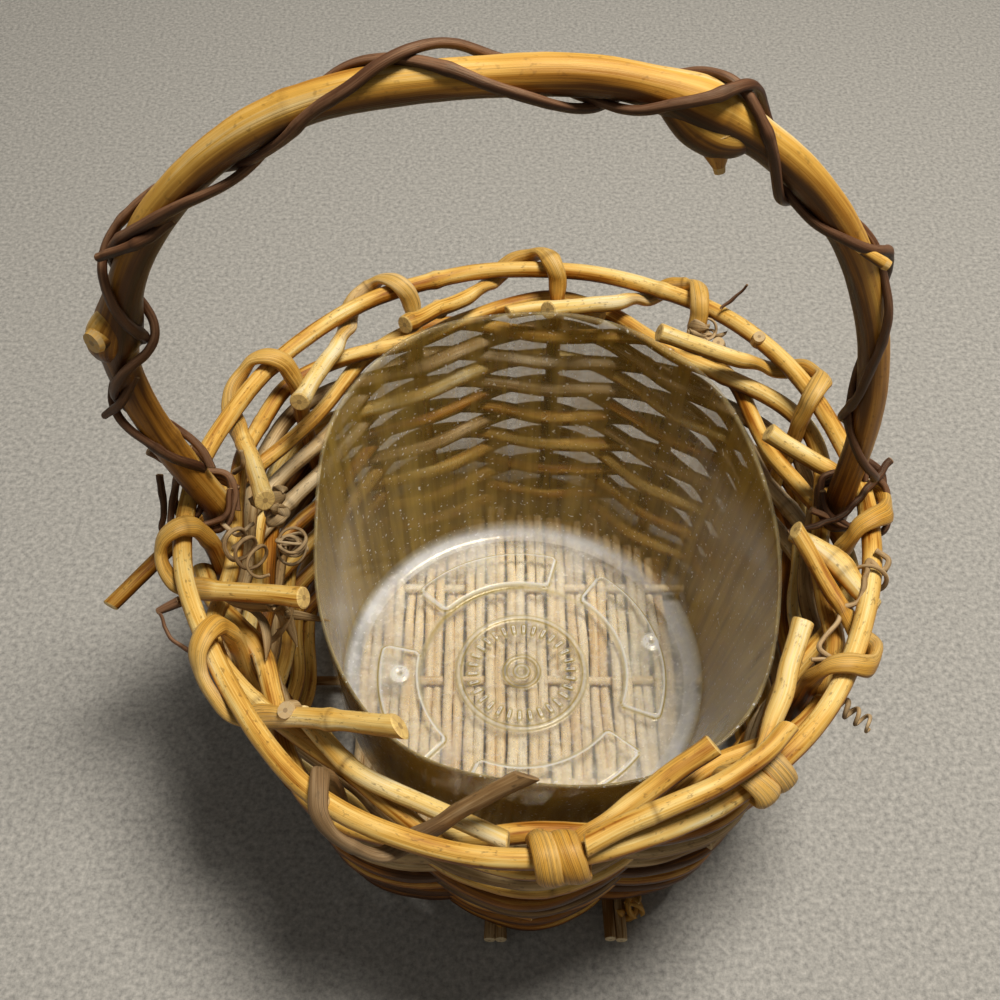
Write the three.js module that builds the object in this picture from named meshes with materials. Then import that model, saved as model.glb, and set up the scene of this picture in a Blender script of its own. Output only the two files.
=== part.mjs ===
// A small round basket of willow and vine rods with a fixed arched handle and a clear plastic liner.
// Millimetres, +Z up. The origin is on the floor, at the centre of the base; the front of the basket is at -Y.
import * as THREE from "three";

// Clearance between pieces that touch
const CLEARANCE = 0.3;

// Hoop: the bent rod that forms the rim, a little oval and pressed flat at the front left
const HOOP_RADIUS = 103.5;
const HOOP_HEIGHT = 107;
const HOOP_ROD = 2.9;
const HOOP_OVAL = 3.3;
const HOOP_OVAL_ANGLE = 74;
const HOOP_FLAT_DEPTH = 6;
const HOOP_FLAT_ANGLE = 216;
const HOOP_FLAT_WIDTH = 20;
const HOOP_JOINT_ANGLE = 273.5;
const HOOP_STEPS = 48;
const BUTT_GAP = 0.8;

// Stakes: the uprights, which turn over the hoop and end inside it
const STAKE_ROD = 2.7;
const STAKE_RING_AT_FLOOR = 80;
const STAKE_FOOT_HEIGHT = 0.8;
const ROWS_PER_STAKE_POINT = 3;
const WALL_SWELL = 2;
const WRAP_SLACK = 0.4;
const TURN_SHARE = 0.33;
// Each stake: its angle, how many degrees it follows the outside of the hoop, and where its cut end lies:
// degrees past the stake, distance inside the hoop where the liner leaves room, and height above the hoop.
// It turns over the hoop, and back under it, in a share of those first degrees.
const STAKES = [
  { angle: 24, run: 13, end: 33, inset: 28, rise: 6 },
  { angle: 54, run: 12, end: 30, inset: 28, rise: 6 },
  { angle: 83, run: 13, end: 35, inset: 21, rise: 5 },
  { angle: 113, run: 13, end: 38, inset: 20, rise: 5 },
  { angle: 143, run: 14, end: 39, inset: 25, rise: 8 },
  { angle: 185, run: 9, end: 24, inset: 30, rise: 5 },
  { angle: 206, run: 15, end: 41, inset: 24, rise: 12 },
  { angle: 238, run: 14, end: 31, inset: 14, rise: 17 },
  { angle: 271, run: 7, end: 29, inset: 12.5, rise: 6 },
  { angle: 301, run: 11, end: 29, inset: 15, rise: 6 },
  { angle: 325, run: 12, end: 26, inset: 28, rise: 6 },
  { angle: 354, run: 14, end: 25, inset: 24, rise: 5 },
];

// Weavers: the rods that pass in and out of the stakes, row on row
const WEAVER_ROD = 2.7;
const ROW_COUNT = 15;
const ROW_START_STEP = 5;
const POINTS_PER_STAKE = 3;
// One row ends just past a stake in a loose tail that sticks out at the left and hangs a little
const TAIL_ROW = 13;
const TAIL_AFTER_STAKE = 4;
const TAIL_LENGTH = 68;
const TAIL_HEADING = 230;
const TAIL_DROP = 8;

// Base: pairs of thin rods woven over and under cross sticks, a few of them long enough to show outside the wall
const BASE_ROOM = 3.3;
const CROSS_STICK_ROD = 1.6;
const CROSS_STICK_SPACING = 40;
const CROSS_STICK_COUNT = 3;
const PAIR_ROD = 1.75;
const PAIR_GAP = 0.6;
const PAIR_SLOPE = 9;
const LONG_PAIR_OVERHANG = 4;
const LONG_PAIRS = [-1, 4];

// Liner: a clear soft cup, round at the floor and drawn out to an oval at its mouth. The rooms are the distances
// from the hoop in to that oval. The mouth is also skewed, its back to the left, and a little square: it bulges at
// four corners and draws in between them, by a share of its size.
const LINER_FLOOR_ROOM = 7.6;
const LINER_DEPTH = 95;
const LINER_WALL = 1;
const LINER_CORNER = 6;
const LINER_ROOM_LEFT = 35.6;
const LINER_ROOM_RIGHT = 25.4;
const LINER_ROOM_BACK = 28.3;
const LINER_ROOM_FRONT = 20.3;
const LINER_SKEW = 3.7;
const LINER_SQUARENESS = 0.029;
const LINER_TILT = 9;
const LINER_LIFT_ROOM = 0.8;
const MOUTH_TRIES = 30;
const LINER_RING_RADIUS = 22;
const LINER_RING_WIDTH = 2;
const LINER_RING_HEIGHT = 0.8;

// Border rods: loose rods that lie along the rim, through these angles
const BORDER_ROD = 2.5;
const BORDER_LEFT_ANGLES = [226, 240, 254, 266.5];
const BORDER_LEFT_END = 205;
const BORDER_FRONT_ANGLES = [277, 302.5, 309.5];
const BORDER_BACK_STAKE = 2;
const BORDER_BACK_SPREAD = 10;
const BORDER_SLACK = 0.5;

// Handle: one thick vine bent to an arch, its feet inside the hoop, with two knots
const HANDLE_ROD = 4.3;
const HANDLE_RISE = 141;
const HANDLE_REACH_LEFT = 112;
const HANDLE_REACH_RIGHT = 96;
const HANDLE_SQUARENESS_LEFT = 2.5;
const HANDLE_SQUARENESS_RIGHT = 2.2;
const HANDLE_TUCK_HEIGHT = 65;
const HANDLE_TUCK_EASE = 1.2;
const HANDLE_Y = 3.8;
const HANDLE_STEPS = 40;
const KNOT_SWELL = 1.8;
const KNOT_LENGTH = 9;
const KNOT_PLACES = [0.178, 0.645];

// Binding vines: two thin vines wound round the handle in opposite senses. They cross each other at these
// shares of the arch, in turn inside and outside the arch, starting inside it.
const VINE_ROD = 1.35;
const VINE_CROSSINGS = [0.035, 0.113, 0.176, 0.24, 0.35, 0.456, 0.556, 0.626, 0.694, 0.767, 0.905, 0.975];
const VINE_STEPS_PER_CROSSING = 8;
const VINE_GAP = 0.6;

// Lashings: turns of vine that tie each handle foot to the hoop
const LASHING_ROD = 1.3;
const LASHING_TURNS = 2;
const LASHING_GAP = 0.6;
const LASHING_SLACK = 0.27;
const LASHING_SLANT = 36;
const LASHING_ROUNDNESS = 0.55;
const LASHING_STEPS_PER_TURN = 20;

// Tendrils: thin dry curls left on the vines. Two start on the top row, inside and outside the stakes of these
// counts, and one clasps the hoop.
const TENDRIL_ROD = 0.8;
const TENDRIL_STEPS_PER_TURN = 10;
const CURL_RADIUS = 4.2;
const CURL_TURNS = 3;
const CURL_LENGTH = 10;
const CURL_STAKE = 5;
const SMALL_CURL_RADIUS = 2.1;
const SMALL_CURL_STAKE = 10;
const CLASP_ANGLE = 344.5;
const CLASP_START = 210;
const CLASP_ADVANCE = 4;
const CLASP_TURNS = 1.5;

const WOOD = { roughness: 0.6, metalness: 0 };
const honeyCane = new THREE.MeshStandardMaterial({ color: 0xc08a3c, ...WOOD });
const paleCane = new THREE.MeshStandardMaterial({ color: 0xb59a63, ...WOOD });
const darkVine = new THREE.MeshStandardMaterial({ color: 0x4a2d22, ...WOOD });
const handleVine = new THREE.MeshStandardMaterial({ color: 0xa9742f, ...WOOD });
const clearPlastic = new THREE.MeshStandardMaterial({
  color: 0xd8d2b4,
  roughness: 0.15,
  metalness: 0,
  transparent: true,
  opacity: 0.35,
});

// Sizes that follow from the driving dimensions
const wrapRadius = HOOP_ROD + STAKE_ROD + CLEARANCE + WRAP_SLACK;
const weaveDepth = STAKE_ROD + WEAVER_ROD + CLEARANCE;
const baseWave = CROSS_STICK_ROD + PAIR_ROD + CLEARANCE;
const baseMiddle = baseWave + PAIR_ROD;
const baseTop = baseMiddle + baseWave + PAIR_ROD;
const baseRadius = STAKE_RING_AT_FLOOR - STAKE_ROD - BASE_ROOM;
const longPairReach = STAKE_RING_AT_FLOOR + weaveDepth + WEAVER_ROD + LONG_PAIR_OVERHANG;
const pairPitch = 4 * PAIR_ROD + PAIR_GAP;
const bottomRowHeight = baseMiddle + PAIR_ROD + CLEARANCE + WEAVER_ROD;
const topRowHeight = HOOP_HEIGHT - wrapRadius - STAKE_ROD - CLEARANCE - WEAVER_ROD;
const rowPitch = (topRowHeight - bottomRowHeight) / (ROW_COUNT - 1);
const onTopRow = topRowHeight + WEAVER_ROD + CLEARANCE;
const linerBottom = baseTop + CLEARANCE;
const linerFloorRadius = STAKE_RING_AT_FLOOR - weaveDepth - WEAVER_ROD - LINER_FLOOR_ROOM;
const handleFootInset = HOOP_ROD + HANDLE_ROD + CLEARANCE;

const basket = new THREE.Group();

// A path that is sampled at its own points, one ring of a rod at each
class RodPath extends THREE.CatmullRomCurve3 {
  getPointAt(share, target) {
    return this.getPoint(share, target);
  }
  getTangentAt(share, target) {
    return this.getTangent(share, target);
  }
}

// A path along Y whose rings all stand square to Y, so that its waves keep their full height
class LevelPath extends RodPath {
  computeFrenetFrames(segments) {
    const repeat = (x, y, z) => Array.from({ length: segments + 1 }, () => new THREE.Vector3(x, y, z));
    return { tangents: repeat(0, 1, 0), normals: repeat(1, 0, 0), binormals: repeat(0, 0, -1) };
  }
}

function radians(degrees) {
  return THREE.MathUtils.degToRad(degrees);
}

// A point at a radius, an angle about the basket's axis and a height
function polar(radius, degrees, height) {
  return new THREE.Vector3(radius * Math.cos(radians(degrees)), radius * Math.sin(radians(degrees)), height);
}

// Radius of the hoop's middle at an angle
function hoopRadius(degrees) {
  const oval = HOOP_OVAL * Math.cos(2 * radians(degrees - HOOP_OVAL_ANGLE));
  const fromFlat = THREE.MathUtils.euclideanModulo(degrees - HOOP_FLAT_ANGLE + 180, 360) - 180;
  const flat = HOOP_FLAT_DEPTH * Math.exp(-((fromFlat / HOOP_FLAT_WIDTH) ** 2));
  return HOOP_RADIUS + oval - flat;
}

// A point beside the hoop: 0 degrees round it is outside, 90 above, 180 inside and 270 below
function besideHoop(distance, degrees, roundHoop) {
  const out = distance * Math.cos(radians(roundHoop));
  const up = distance * Math.sin(radians(roundHoop));
  return polar(hoopRadius(degrees) + out, degrees, HOOP_HEIGHT + up);
}

// The oval of the liner's mouth, in plan
const mouthLeft = LINER_ROOM_LEFT - hoopRadius(180);
const mouthRight = hoopRadius(0) - LINER_ROOM_RIGHT;
const mouthFront = LINER_ROOM_FRONT - hoopRadius(270);
const mouthBack = hoopRadius(90) - LINER_ROOM_BACK;
const mouth = {
  x: (mouthLeft + mouthRight) / 2,
  y: (mouthFront + mouthBack) / 2,
  halfWidth: (mouthRight - mouthLeft) / 2,
  halfLength: (mouthBack - mouthFront) / 2,
};

// A point of the liner's mouth, in plan, at a turn about the mouth's own middle
function mouthPoint(turn) {
  const reach = 1 - LINER_SQUARENESS * Math.cos(4 * turn);
  const across = reach * Math.cos(turn);
  const along = reach * Math.sin(turn);
  return new THREE.Vector2(
    mouth.x + mouth.halfWidth * across - LINER_SKEW * along,
    mouth.y + mouth.halfLength * along,
  );
}

// Distance from the basket's axis to the liner's mouth at an angle, by nearing the turn that has that angle
function mouthRadius(degrees) {
  const wanted = polar(1, degrees, 0);
  let turn = radians(degrees);
  for (let i = 0; i < MOUTH_TRIES; i++) {
    const point = mouthPoint(turn);
    turn += Math.atan2(point.cross(wanted), point.dot(wanted));
  }
  return mouthPoint(turn).length();
}

// A regular section whose flats face the frame's axes
function roundSection(rod, sides) {
  const corners = [];
  for (let i = 0; i < sides; i++) {
    const angle = ((i + 0.5) / sides) * 2 * Math.PI;
    corners.push(new THREE.Vector2(rod * Math.cos(angle), rod * Math.sin(angle)));
  }
  return new THREE.Shape(corners);
}

function rodGeometry(points, rod, sides, PathClass = RodPath) {
  const section = rod instanceof THREE.Shape ? rod : roundSection(rod, sides);
  return new THREE.ExtrudeGeometry(section, {
    steps: points.length - 1,
    extrudePath: new PathClass(points),
    bevelEnabled: false,
  });
}

function add(name, geometry, material) {
  const mesh = new THREE.Mesh(geometry, material.clone());
  mesh.name = name;
  basket.add(mesh);
  return mesh;
}

function numbered(name, index) {
  return `${name}_${String(index + 1).padStart(2, "0")}`;
}

// Radius of the ring of stakes at a height and an angle: round at the floor, and just inside the hoop at the top
function stakeRing(height, degrees) {
  const share = height / HOOP_HEIGHT;
  const lean = THREE.MathUtils.lerp(STAKE_RING_AT_FLOOR, hoopRadius(degrees) - wrapRadius, share);
  return lean + WALL_SWELL * Math.sin(Math.PI * share);
}

function rowHeight(row) {
  return bottomRowHeight + row * rowPitch;
}

// Rim hoop
function addHoop() {
  const gap = THREE.MathUtils.radToDeg(BUTT_GAP / HOOP_RADIUS);
  const points = [];
  for (let i = 0; i <= HOOP_STEPS; i++) {
    points.push(besideHoop(0, HOOP_JOINT_ANGLE + ((360 - gap) * i) / HOOP_STEPS, 0));
  }
  add("rim_hoop", rodGeometry(points, HOOP_ROD, 8), honeyCane);
}

// A stake rises inside the hoop, turns over it, follows its outside, comes back under it and ends inside
function stakePath({ angle, run, end, inset, rise }) {
  const points = [polar(stakeRing(STAKE_FOOT_HEIGHT, angle), angle, STAKE_FOOT_HEIGHT)];
  for (let row = 0; row < ROW_COUNT; row += ROWS_PER_STAKE_POINT) {
    points.push(polar(stakeRing(rowHeight(row), angle), angle, rowHeight(row)));
  }
  const over = TURN_SHARE * run;
  const turn = [
    [180, 0],
    [135, 0.15 * over],
    [90, 0.45 * over],
    [45, 0.8 * over],
    [5, 1.3 * over],
    [-15, run - over],
    [-55, run - 0.4 * over],
    [-95, run],
    [-135, run + 0.45 * over],
  ];
  for (const [roundHoop, past] of turn) {
    points.push(besideHoop(wrapRadius, angle + past, roundHoop));
  }
  const besideLiner = mouthRadius(angle + end) + LINER_LIFT_ROOM + STAKE_ROD;
  const endRadius = Math.max(hoopRadius(angle + end) - inset, besideLiner);
  const cutEnd = polar(endRadius, angle + end, HOOP_HEIGHT + rise);
  points.push(points.at(-1).clone().lerp(cutEnd, 0.5), cutEnd);
  return points;
}

function addStakes() {
  STAKES.forEach((stake, i) => {
    add(numbered("stake", i), rodGeometry(stakePath(stake), STAKE_ROD, 6), honeyCane);
  });
}

// Angle at a count of stakes from the first, in between stakes too
function angleAtStake(count) {
  const whole = Math.floor(count);
  const angleOf = (i) => STAKES[i % STAKES.length].angle + 360 * Math.floor(i / STAKES.length);
  return THREE.MathUtils.lerp(angleOf(whole), angleOf(whole + 1), count - whole);
}

// Each row starts behind another stake and passes each stake on the other side from the row below
function weaverPath(row) {
  const height = rowHeight(row);
  const tailed = row === TAIL_ROW;
  const start = tailed ? TAIL_AFTER_STAKE + 1 : (row * ROW_START_STEP) % STAKES.length;
  const steps = tailed ? (STAKES.length - 1) * POINTS_PER_STAKE + 1 : STAKES.length * POINTS_PER_STAKE;
  const points = [];
  for (let i = 0; i <= steps; i++) {
    let degrees = angleAtStake(start + i / POINTS_PER_STAKE);
    if (i === steps && !tailed) {
      degrees -= THREE.MathUtils.radToDeg(BUTT_GAP / STAKE_RING_AT_FLOOR);
    }
    const side = Math.cos(Math.PI * (start + i / POINTS_PER_STAKE + row));
    points.push(polar(stakeRing(height, degrees) + weaveDepth * side, degrees, height));
  }
  if (tailed) {
    const turn = points.at(-1);
    for (const share of [0.4, 1]) {
      points.push(turn.clone().add(polar(share * TAIL_LENGTH, TAIL_HEADING, -share * share * TAIL_DROP)));
    }
  }
  return points;
}

function addWeavers() {
  for (let row = 0; row < ROW_COUNT; row++) {
    add(numbered("weaver", row), rodGeometry(weaverPath(row), WEAVER_ROD, 5), honeyCane);
  }
}

function crossStickPlace(i) {
  return (i - (CROSS_STICK_COUNT - 1) / 2) * CROSS_STICK_SPACING;
}

function addCrossSticks() {
  for (let i = 0; i < CROSS_STICK_COUNT; i++) {
    const y = crossStickPlace(i);
    const half = Math.sqrt(baseRadius ** 2 - y ** 2);
    const points = [new THREE.Vector3(-half, y, baseMiddle), new THREE.Vector3(half, y, baseMiddle)];
    add(numbered("base_cross_stick", i), rodGeometry(points, CROSS_STICK_ROD, 8), paleCane);
  }
}

// Section of two rods lying side by side and pressed together
function pairSection() {
  const flat = PAIR_ROD * Math.tan(Math.PI / 8);
  const quarter = [
    [2 * PAIR_ROD, 0],
    [PAIR_ROD + flat, PAIR_ROD],
    [PAIR_ROD - flat, PAIR_ROD],
  ];
  const section = new THREE.Shape();
  section.moveTo(...quarter[0]);
  for (const [x, y] of [quarter[1], quarter[2], [0, flat]]) section.lineTo(x, y);
  for (const [x, y] of quarter.toReversed()) section.lineTo(-x, y);
  for (const [x, y] of [quarter[1], quarter[2], [0, flat]]) section.lineTo(-x, -y);
  for (const [x, y] of quarter.slice(1).toReversed()) section.lineTo(x, -y);
  return section;
}

// Pairs of base rods run front to back, over one cross stick and under the next, and lie level at their ends.
// One rod of the middle pair lies on the basket's axis.
function addBasePairs() {
  const section = pairSection();
  const level = CROSS_STICK_ROD + CLEARANCE;
  const most = Math.floor((baseRadius - CROSS_STICK_SPACING / 2) / pairPitch);
  for (let j = -most; j <= most; j++) {
    const x = j * pairPitch - PAIR_ROD;
    const chord = Math.sqrt(baseRadius ** 2 - x ** 2);
    const crossed = [];
    for (let i = 0; i < CROSS_STICK_COUNT; i++) {
      if (Math.abs(crossStickPlace(i)) + level + PAIR_SLOPE < chord) crossed.push(i);
    }
    const lastStick = crossStickPlace(crossed.at(-1));
    const nextStick = lastStick + CROSS_STICK_SPACING - CROSS_STICK_ROD - CLEARANCE;
    const isLast = crossed.at(-1) === CROSS_STICK_COUNT - 1;
    const half = LONG_PAIRS.includes(j) ? longPairReach : Math.min(chord, isLast ? chord : nextStick);
    const ending = lastStick + level + PAIR_SLOPE;
    const points = [new THREE.Vector3(x, -half, baseMiddle), new THREE.Vector3(x, -ending, baseMiddle)];
    for (const i of crossed) {
      const y = crossStickPlace(i);
      const side = (i + j) % 2 === 0 ? 1 : -1;
      points.push(new THREE.Vector3(x, y - level, baseMiddle + side * baseWave));
      points.push(new THREE.Vector3(x, y + level, baseMiddle + side * baseWave));
    }
    points.push(new THREE.Vector3(x, ending, baseMiddle), new THREE.Vector3(x, half, baseMiddle));
    add(numbered("base_pair", j + most), rodGeometry(points, section, 0, LevelPath), paleCane);
  }
}

// Half outline of the liner as a straight-sided cup, from its bottom centre round the lip to its floor centre
function linerProfile() {
  const outer = linerFloorRadius;
  const inner = outer - LINER_WALL;
  const innerCorner = LINER_CORNER - LINER_WALL;
  const path = new THREE.Path();
  path.moveTo(0, 0);
  path.lineTo(outer - LINER_CORNER, 0);
  path.absarc(outer - LINER_CORNER, LINER_CORNER, LINER_CORNER, -Math.PI / 2, 0, false);
  path.lineTo(outer, LINER_DEPTH / 2);
  path.lineTo(outer, LINER_DEPTH);
  path.lineTo(inner, LINER_DEPTH);
  path.lineTo(inner, LINER_DEPTH / 2);
  path.absarc(inner - innerCorner, LINER_CORNER, innerCorner, 0, -Math.PI / 2, true);
  path.lineTo(LINER_RING_RADIUS + LINER_RING_WIDTH, LINER_WALL);
  path.lineTo(LINER_RING_RADIUS + LINER_RING_WIDTH / 2, LINER_WALL + LINER_RING_HEIGHT);
  path.lineTo(LINER_RING_RADIUS, LINER_WALL);
  path.lineTo(0, LINER_WALL);
  return path.getPoints(3);
}

// The cup is drawn out to its oval mouth, shifted and tilted, more and more from the floor to the lip
function addLiner() {
  const geometry = new THREE.LatheGeometry(linerProfile(), 40);
  geometry.rotateX(Math.PI / 2);
  const position = geometry.getAttribute("position");
  const middle = new THREE.Vector2(mouth.x, mouth.y);
  for (let i = 0; i < position.count; i++) {
    const share = position.getZ(i) / LINER_DEPTH;
    const place = new THREE.Vector2(position.getX(i), position.getY(i));
    const tilt = (LINER_TILT * share * place.y) / linerFloorRadius;
    const atMouth = mouthPoint(place.angle()).sub(middle).multiplyScalar(place.length() / linerFloorRadius);
    place.lerp(atMouth.add(middle), share);
    position.setXYZ(i, place.x, place.y, linerBottom + position.getZ(i) + tilt);
  }
  add("liner", geometry, clearPlastic);
}

// Middle of the handle at a turn from 0, the left foot, to 1, the right foot
function handlePoint(turn) {
  const across = -Math.cos(Math.PI * turn);
  const left = across < 0;
  const reach = left ? HANDLE_REACH_LEFT : HANDLE_REACH_RIGHT;
  const power = 2 / (left ? HANDLE_SQUARENESS_LEFT : HANDLE_SQUARENESS_RIGHT);
  const height = HANDLE_RISE * Math.sin(Math.PI * turn) ** power;
  const footX = hoopRadius(left ? 180 : 0) - handleFootInset;
  const tuck = (reach - footX) * Math.max(0, 1 - height / HANDLE_TUCK_HEIGHT) ** HANDLE_TUCK_EASE;
  const x = Math.sign(across) * (reach * Math.abs(across) ** power - tuck);
  return new THREE.Vector3(x, HANDLE_Y, HOOP_HEIGHT + height);
}

function archCurve() {
  const points = [];
  for (let i = 0; i <= 2 * HANDLE_STEPS; i++) {
    points.push(handlePoint(i / (2 * HANDLE_STEPS)));
  }
  return new THREE.CatmullRomCurve3(points);
}

const arch = archCurve();
const archLength = arch.getLength();

// Radius of the handle at a share of its arch, thicker at its knots
function handleRadius(share) {
  let radius = HANDLE_ROD;
  for (const place of KNOT_PLACES) {
    radius += KNOT_SWELL * Math.exp(-((((share - place) * archLength) / KNOT_LENGTH) ** 2));
  }
  return radius;
}

function addHandle() {
  const points = arch.getSpacedPoints(HANDLE_STEPS);
  const radii = points.map((point, i) => handleRadius(i / HANDLE_STEPS));
  points.unshift(points[0].clone().setZ(onTopRow));
  points.push(points.at(-1).clone().setZ(onTopRow));
  radii.unshift(HANDLE_ROD);
  radii.push(HANDLE_ROD);
  const geometry = rodGeometry(points, 1, 8);
  swellRings(geometry, points, radii);
  add("handle_vine", geometry, handleVine);
}

// Widens a rod of radius 1 to the radius that each of its rings has
function swellRings(geometry, points, radii) {
  const position = geometry.getAttribute("position");
  const corner = new THREE.Vector3();
  for (let i = 0; i < position.count; i++) {
    corner.fromBufferAttribute(position, i);
    const distances = points.map((point) => point.distanceToSquared(corner));
    const ring = distances.indexOf(Math.min(...distances));
    corner.sub(points[ring]).multiplyScalar(radii[ring]).add(points[ring]);
    position.setXYZ(i, corner.x, corner.y, corner.z);
  }
}

// Least clear distance between stretches of one rod that lie more than four of its widths apart along it
function leastGap(points, rod) {
  let least = Infinity;
  for (let i = 0; i < points.length; i++) {
    let along = 0;
    for (let j = i + 1; j < points.length; j++) {
      along += points[j].distanceTo(points[j - 1]);
      if (along > 8 * rod) least = Math.min(least, points[j].distanceTo(points[i]) - 2 * rod);
    }
  }
  return least;
}

function addWinding(name, points, rod, sides) {
  console.log(`${name}: least gap to itself ${leastGap(points, rod).toFixed(2)} mm`);
  add(name, rodGeometry(points, rod, sides), darkVine);
}

// One vine from crossing to crossing, half a turn each. At every other crossing it passes over its partner.
function vinePath(sense, overFirst) {
  const points = [];
  const last = (VINE_CROSSINGS.length - 1) * VINE_STEPS_PER_CROSSING;
  for (let i = 0; i <= last; i++) {
    const count = i / VINE_STEPS_PER_CROSSING;
    const from = Math.min(Math.floor(count), VINE_CROSSINGS.length - 2);
    const share = THREE.MathUtils.lerp(VINE_CROSSINGS[from], VINE_CROSSINGS[from + 1], count - from);
    const nearest = Math.round(count);
    const over = nearest % 2 === (overFirst ? 0 : 1);
    const lift = over ? (2 * VINE_ROD + VINE_GAP) * Math.cos(Math.PI * (count - nearest)) ** 2 : 0;
    const reach = handleRadius(share) + VINE_ROD + VINE_GAP + lift;
    const middle = arch.getPointAt(share);
    const along = arch.getTangentAt(share);
    const inward = new THREE.Vector3(along.z, 0, -along.x);
    const turn = Math.PI * count;
    points.push(
      middle
        .addScaledVector(inward, reach * Math.cos(turn))
        .add(new THREE.Vector3(0, sense * reach * Math.sin(turn), 0)),
    );
  }
  return points;
}

function addVines() {
  addWinding("binding_vine_left_hand", vinePath(-1, false), VINE_ROD, 5);
  addWinding("binding_vine_right_hand", vinePath(1, true), VINE_ROD, 5);
}

// Turns of vine round a handle foot and the hoop, in a slanting plane across both. The hoop's share of the turns
// also takes in what runs along its outside.
function lashingPath(degrees, outside, lean) {
  const foot = hoopRadius(degrees) - handleFootInset;
  const hoop = hoopRadius(degrees);
  const thick = LASHING_ROD + CLEARANCE;
  const inner = foot - HANDLE_ROD - thick;
  const outer = hoop + HOOP_ROD + outside + thick;
  const slant = radians(LASHING_SLANT);
  const overHoop = HOOP_ROD + thick + LASHING_SLACK;
  const half = Math.max((HANDLE_ROD + thick) / Math.cos(slant), overHoop / Math.sin(slant));
  const points = [];
  const last = LASHING_TURNS * LASHING_STEPS_PER_TURN;
  for (let i = 0; i <= last; i++) {
    const turn = (2 * Math.PI * i) / LASHING_STEPS_PER_TURN;
    const bulge = (value) => Math.sign(value) * Math.abs(value) ** LASHING_ROUNDNESS;
    const radial = (inner + outer) / 2 - ((outer - inner) / 2) * bulge(Math.cos(turn));
    const aside = (i / last - 0.5) * LASHING_TURNS * (2 * LASHING_ROD + LASHING_GAP);
    const towardsHoop = THREE.MathUtils.clamp((radial - foot) / (hoop - foot), 0, 1);
    const shear = THREE.MathUtils.lerp(Math.tan(slant), -1 / Math.tan(slant), towardsHoop);
    const diagonal = half * bulge(Math.sin(turn)) + aside * shear;
    const along = diagonal * Math.cos(slant) - aside * Math.sin(slant);
    const up = diagonal * Math.sin(slant) + aside * Math.cos(slant);
    const sideways = polar(lean * along, degrees + 90, 0);
    points.push(polar(radial, degrees, HOOP_HEIGHT + up).add(sideways));
  }
  return points;
}

function addLashings() {
  const leftFoot = 180 - THREE.MathUtils.radToDeg(Math.asin(HANDLE_Y / (hoopRadius(180) - handleFootInset)));
  const rightFoot = THREE.MathUtils.radToDeg(Math.asin(HANDLE_Y / (hoopRadius(0) - handleFootInset)));
  const stakeOutside = 2 * STAKE_ROD + CLEARANCE + WRAP_SLACK;
  addWinding("lashing_left", lashingPath(leftFoot, 0, -1), LASHING_ROD, 5);
  addWinding("lashing_right", lashingPath(rightFoot, stakeOutside, 1), LASHING_ROD, 5);
}

// Loose rods: one on the top row at the front left, one against a stake at the back, one on the hoop at the front
function addBorderRods() {
  const resting = onTopRow + BORDER_ROD;
  const onHoop = HOOP_HEIGHT + HOOP_ROD + CLEARANCE + BORDER_ROD;
  const onWrap = HOOP_HEIGHT + wrapRadius + STAKE_ROD + CLEARANCE + BORDER_ROD;
  const behindStakes = (degrees, slack) => {
    const radius = stakeRing(resting, degrees) - STAKE_ROD - CLEARANCE - BORDER_ROD - slack;
    return polar(radius, degrees, resting);
  };
  const backAngle = STAKES[BORDER_BACK_STAKE].angle;
  const frontHeights = [onHoop, onWrap, onWrap + BORDER_SLACK];
  const insideHoop = HOOP_ROD + BORDER_ROD + CLEARANCE + BORDER_SLACK;
  const routes = {
    left: BORDER_LEFT_ANGLES.map((degrees, i) =>
      i < BORDER_LEFT_ANGLES.length - 1
        ? behindStakes(degrees, BORDER_SLACK)
        : besideHoop(insideHoop, degrees, BORDER_LEFT_END),
    ),
    back: [-1, 0, 1].map((side) =>
      behindStakes(backAngle + side * BORDER_BACK_SPREAD, Math.abs(side) * 4 * BORDER_SLACK),
    ),
    front: BORDER_FRONT_ANGLES.map((degrees, i) =>
      polar(hoopRadius(degrees) - 2 * i * BORDER_SLACK, degrees, frontHeights[i]),
    ),
  };
  for (const [name, points] of Object.entries(routes)) {
    add(`border_rod_${name}`, rodGeometry(points, BORDER_ROD, 6), honeyCane);
  }
}

// A curl: a helix about a straight line between two points
function curlPath(from, to, radius, turns) {
  const along = to.clone().sub(from).normalize();
  const across = new THREE.Vector3(0, 0, 1).cross(along).normalize();
  const up = along.clone().cross(across);
  const last = turns * TENDRIL_STEPS_PER_TURN;
  const points = [];
  for (let i = 0; i <= last; i++) {
    const turn = (2 * Math.PI * i) / TENDRIL_STEPS_PER_TURN;
    const point = from.clone().lerp(to, i / last);
    point.addScaledVector(across, radius * Math.sin(turn));
    points.push(point.addScaledVector(up, -radius * Math.cos(turn)));
  }
  return points;
}

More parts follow.
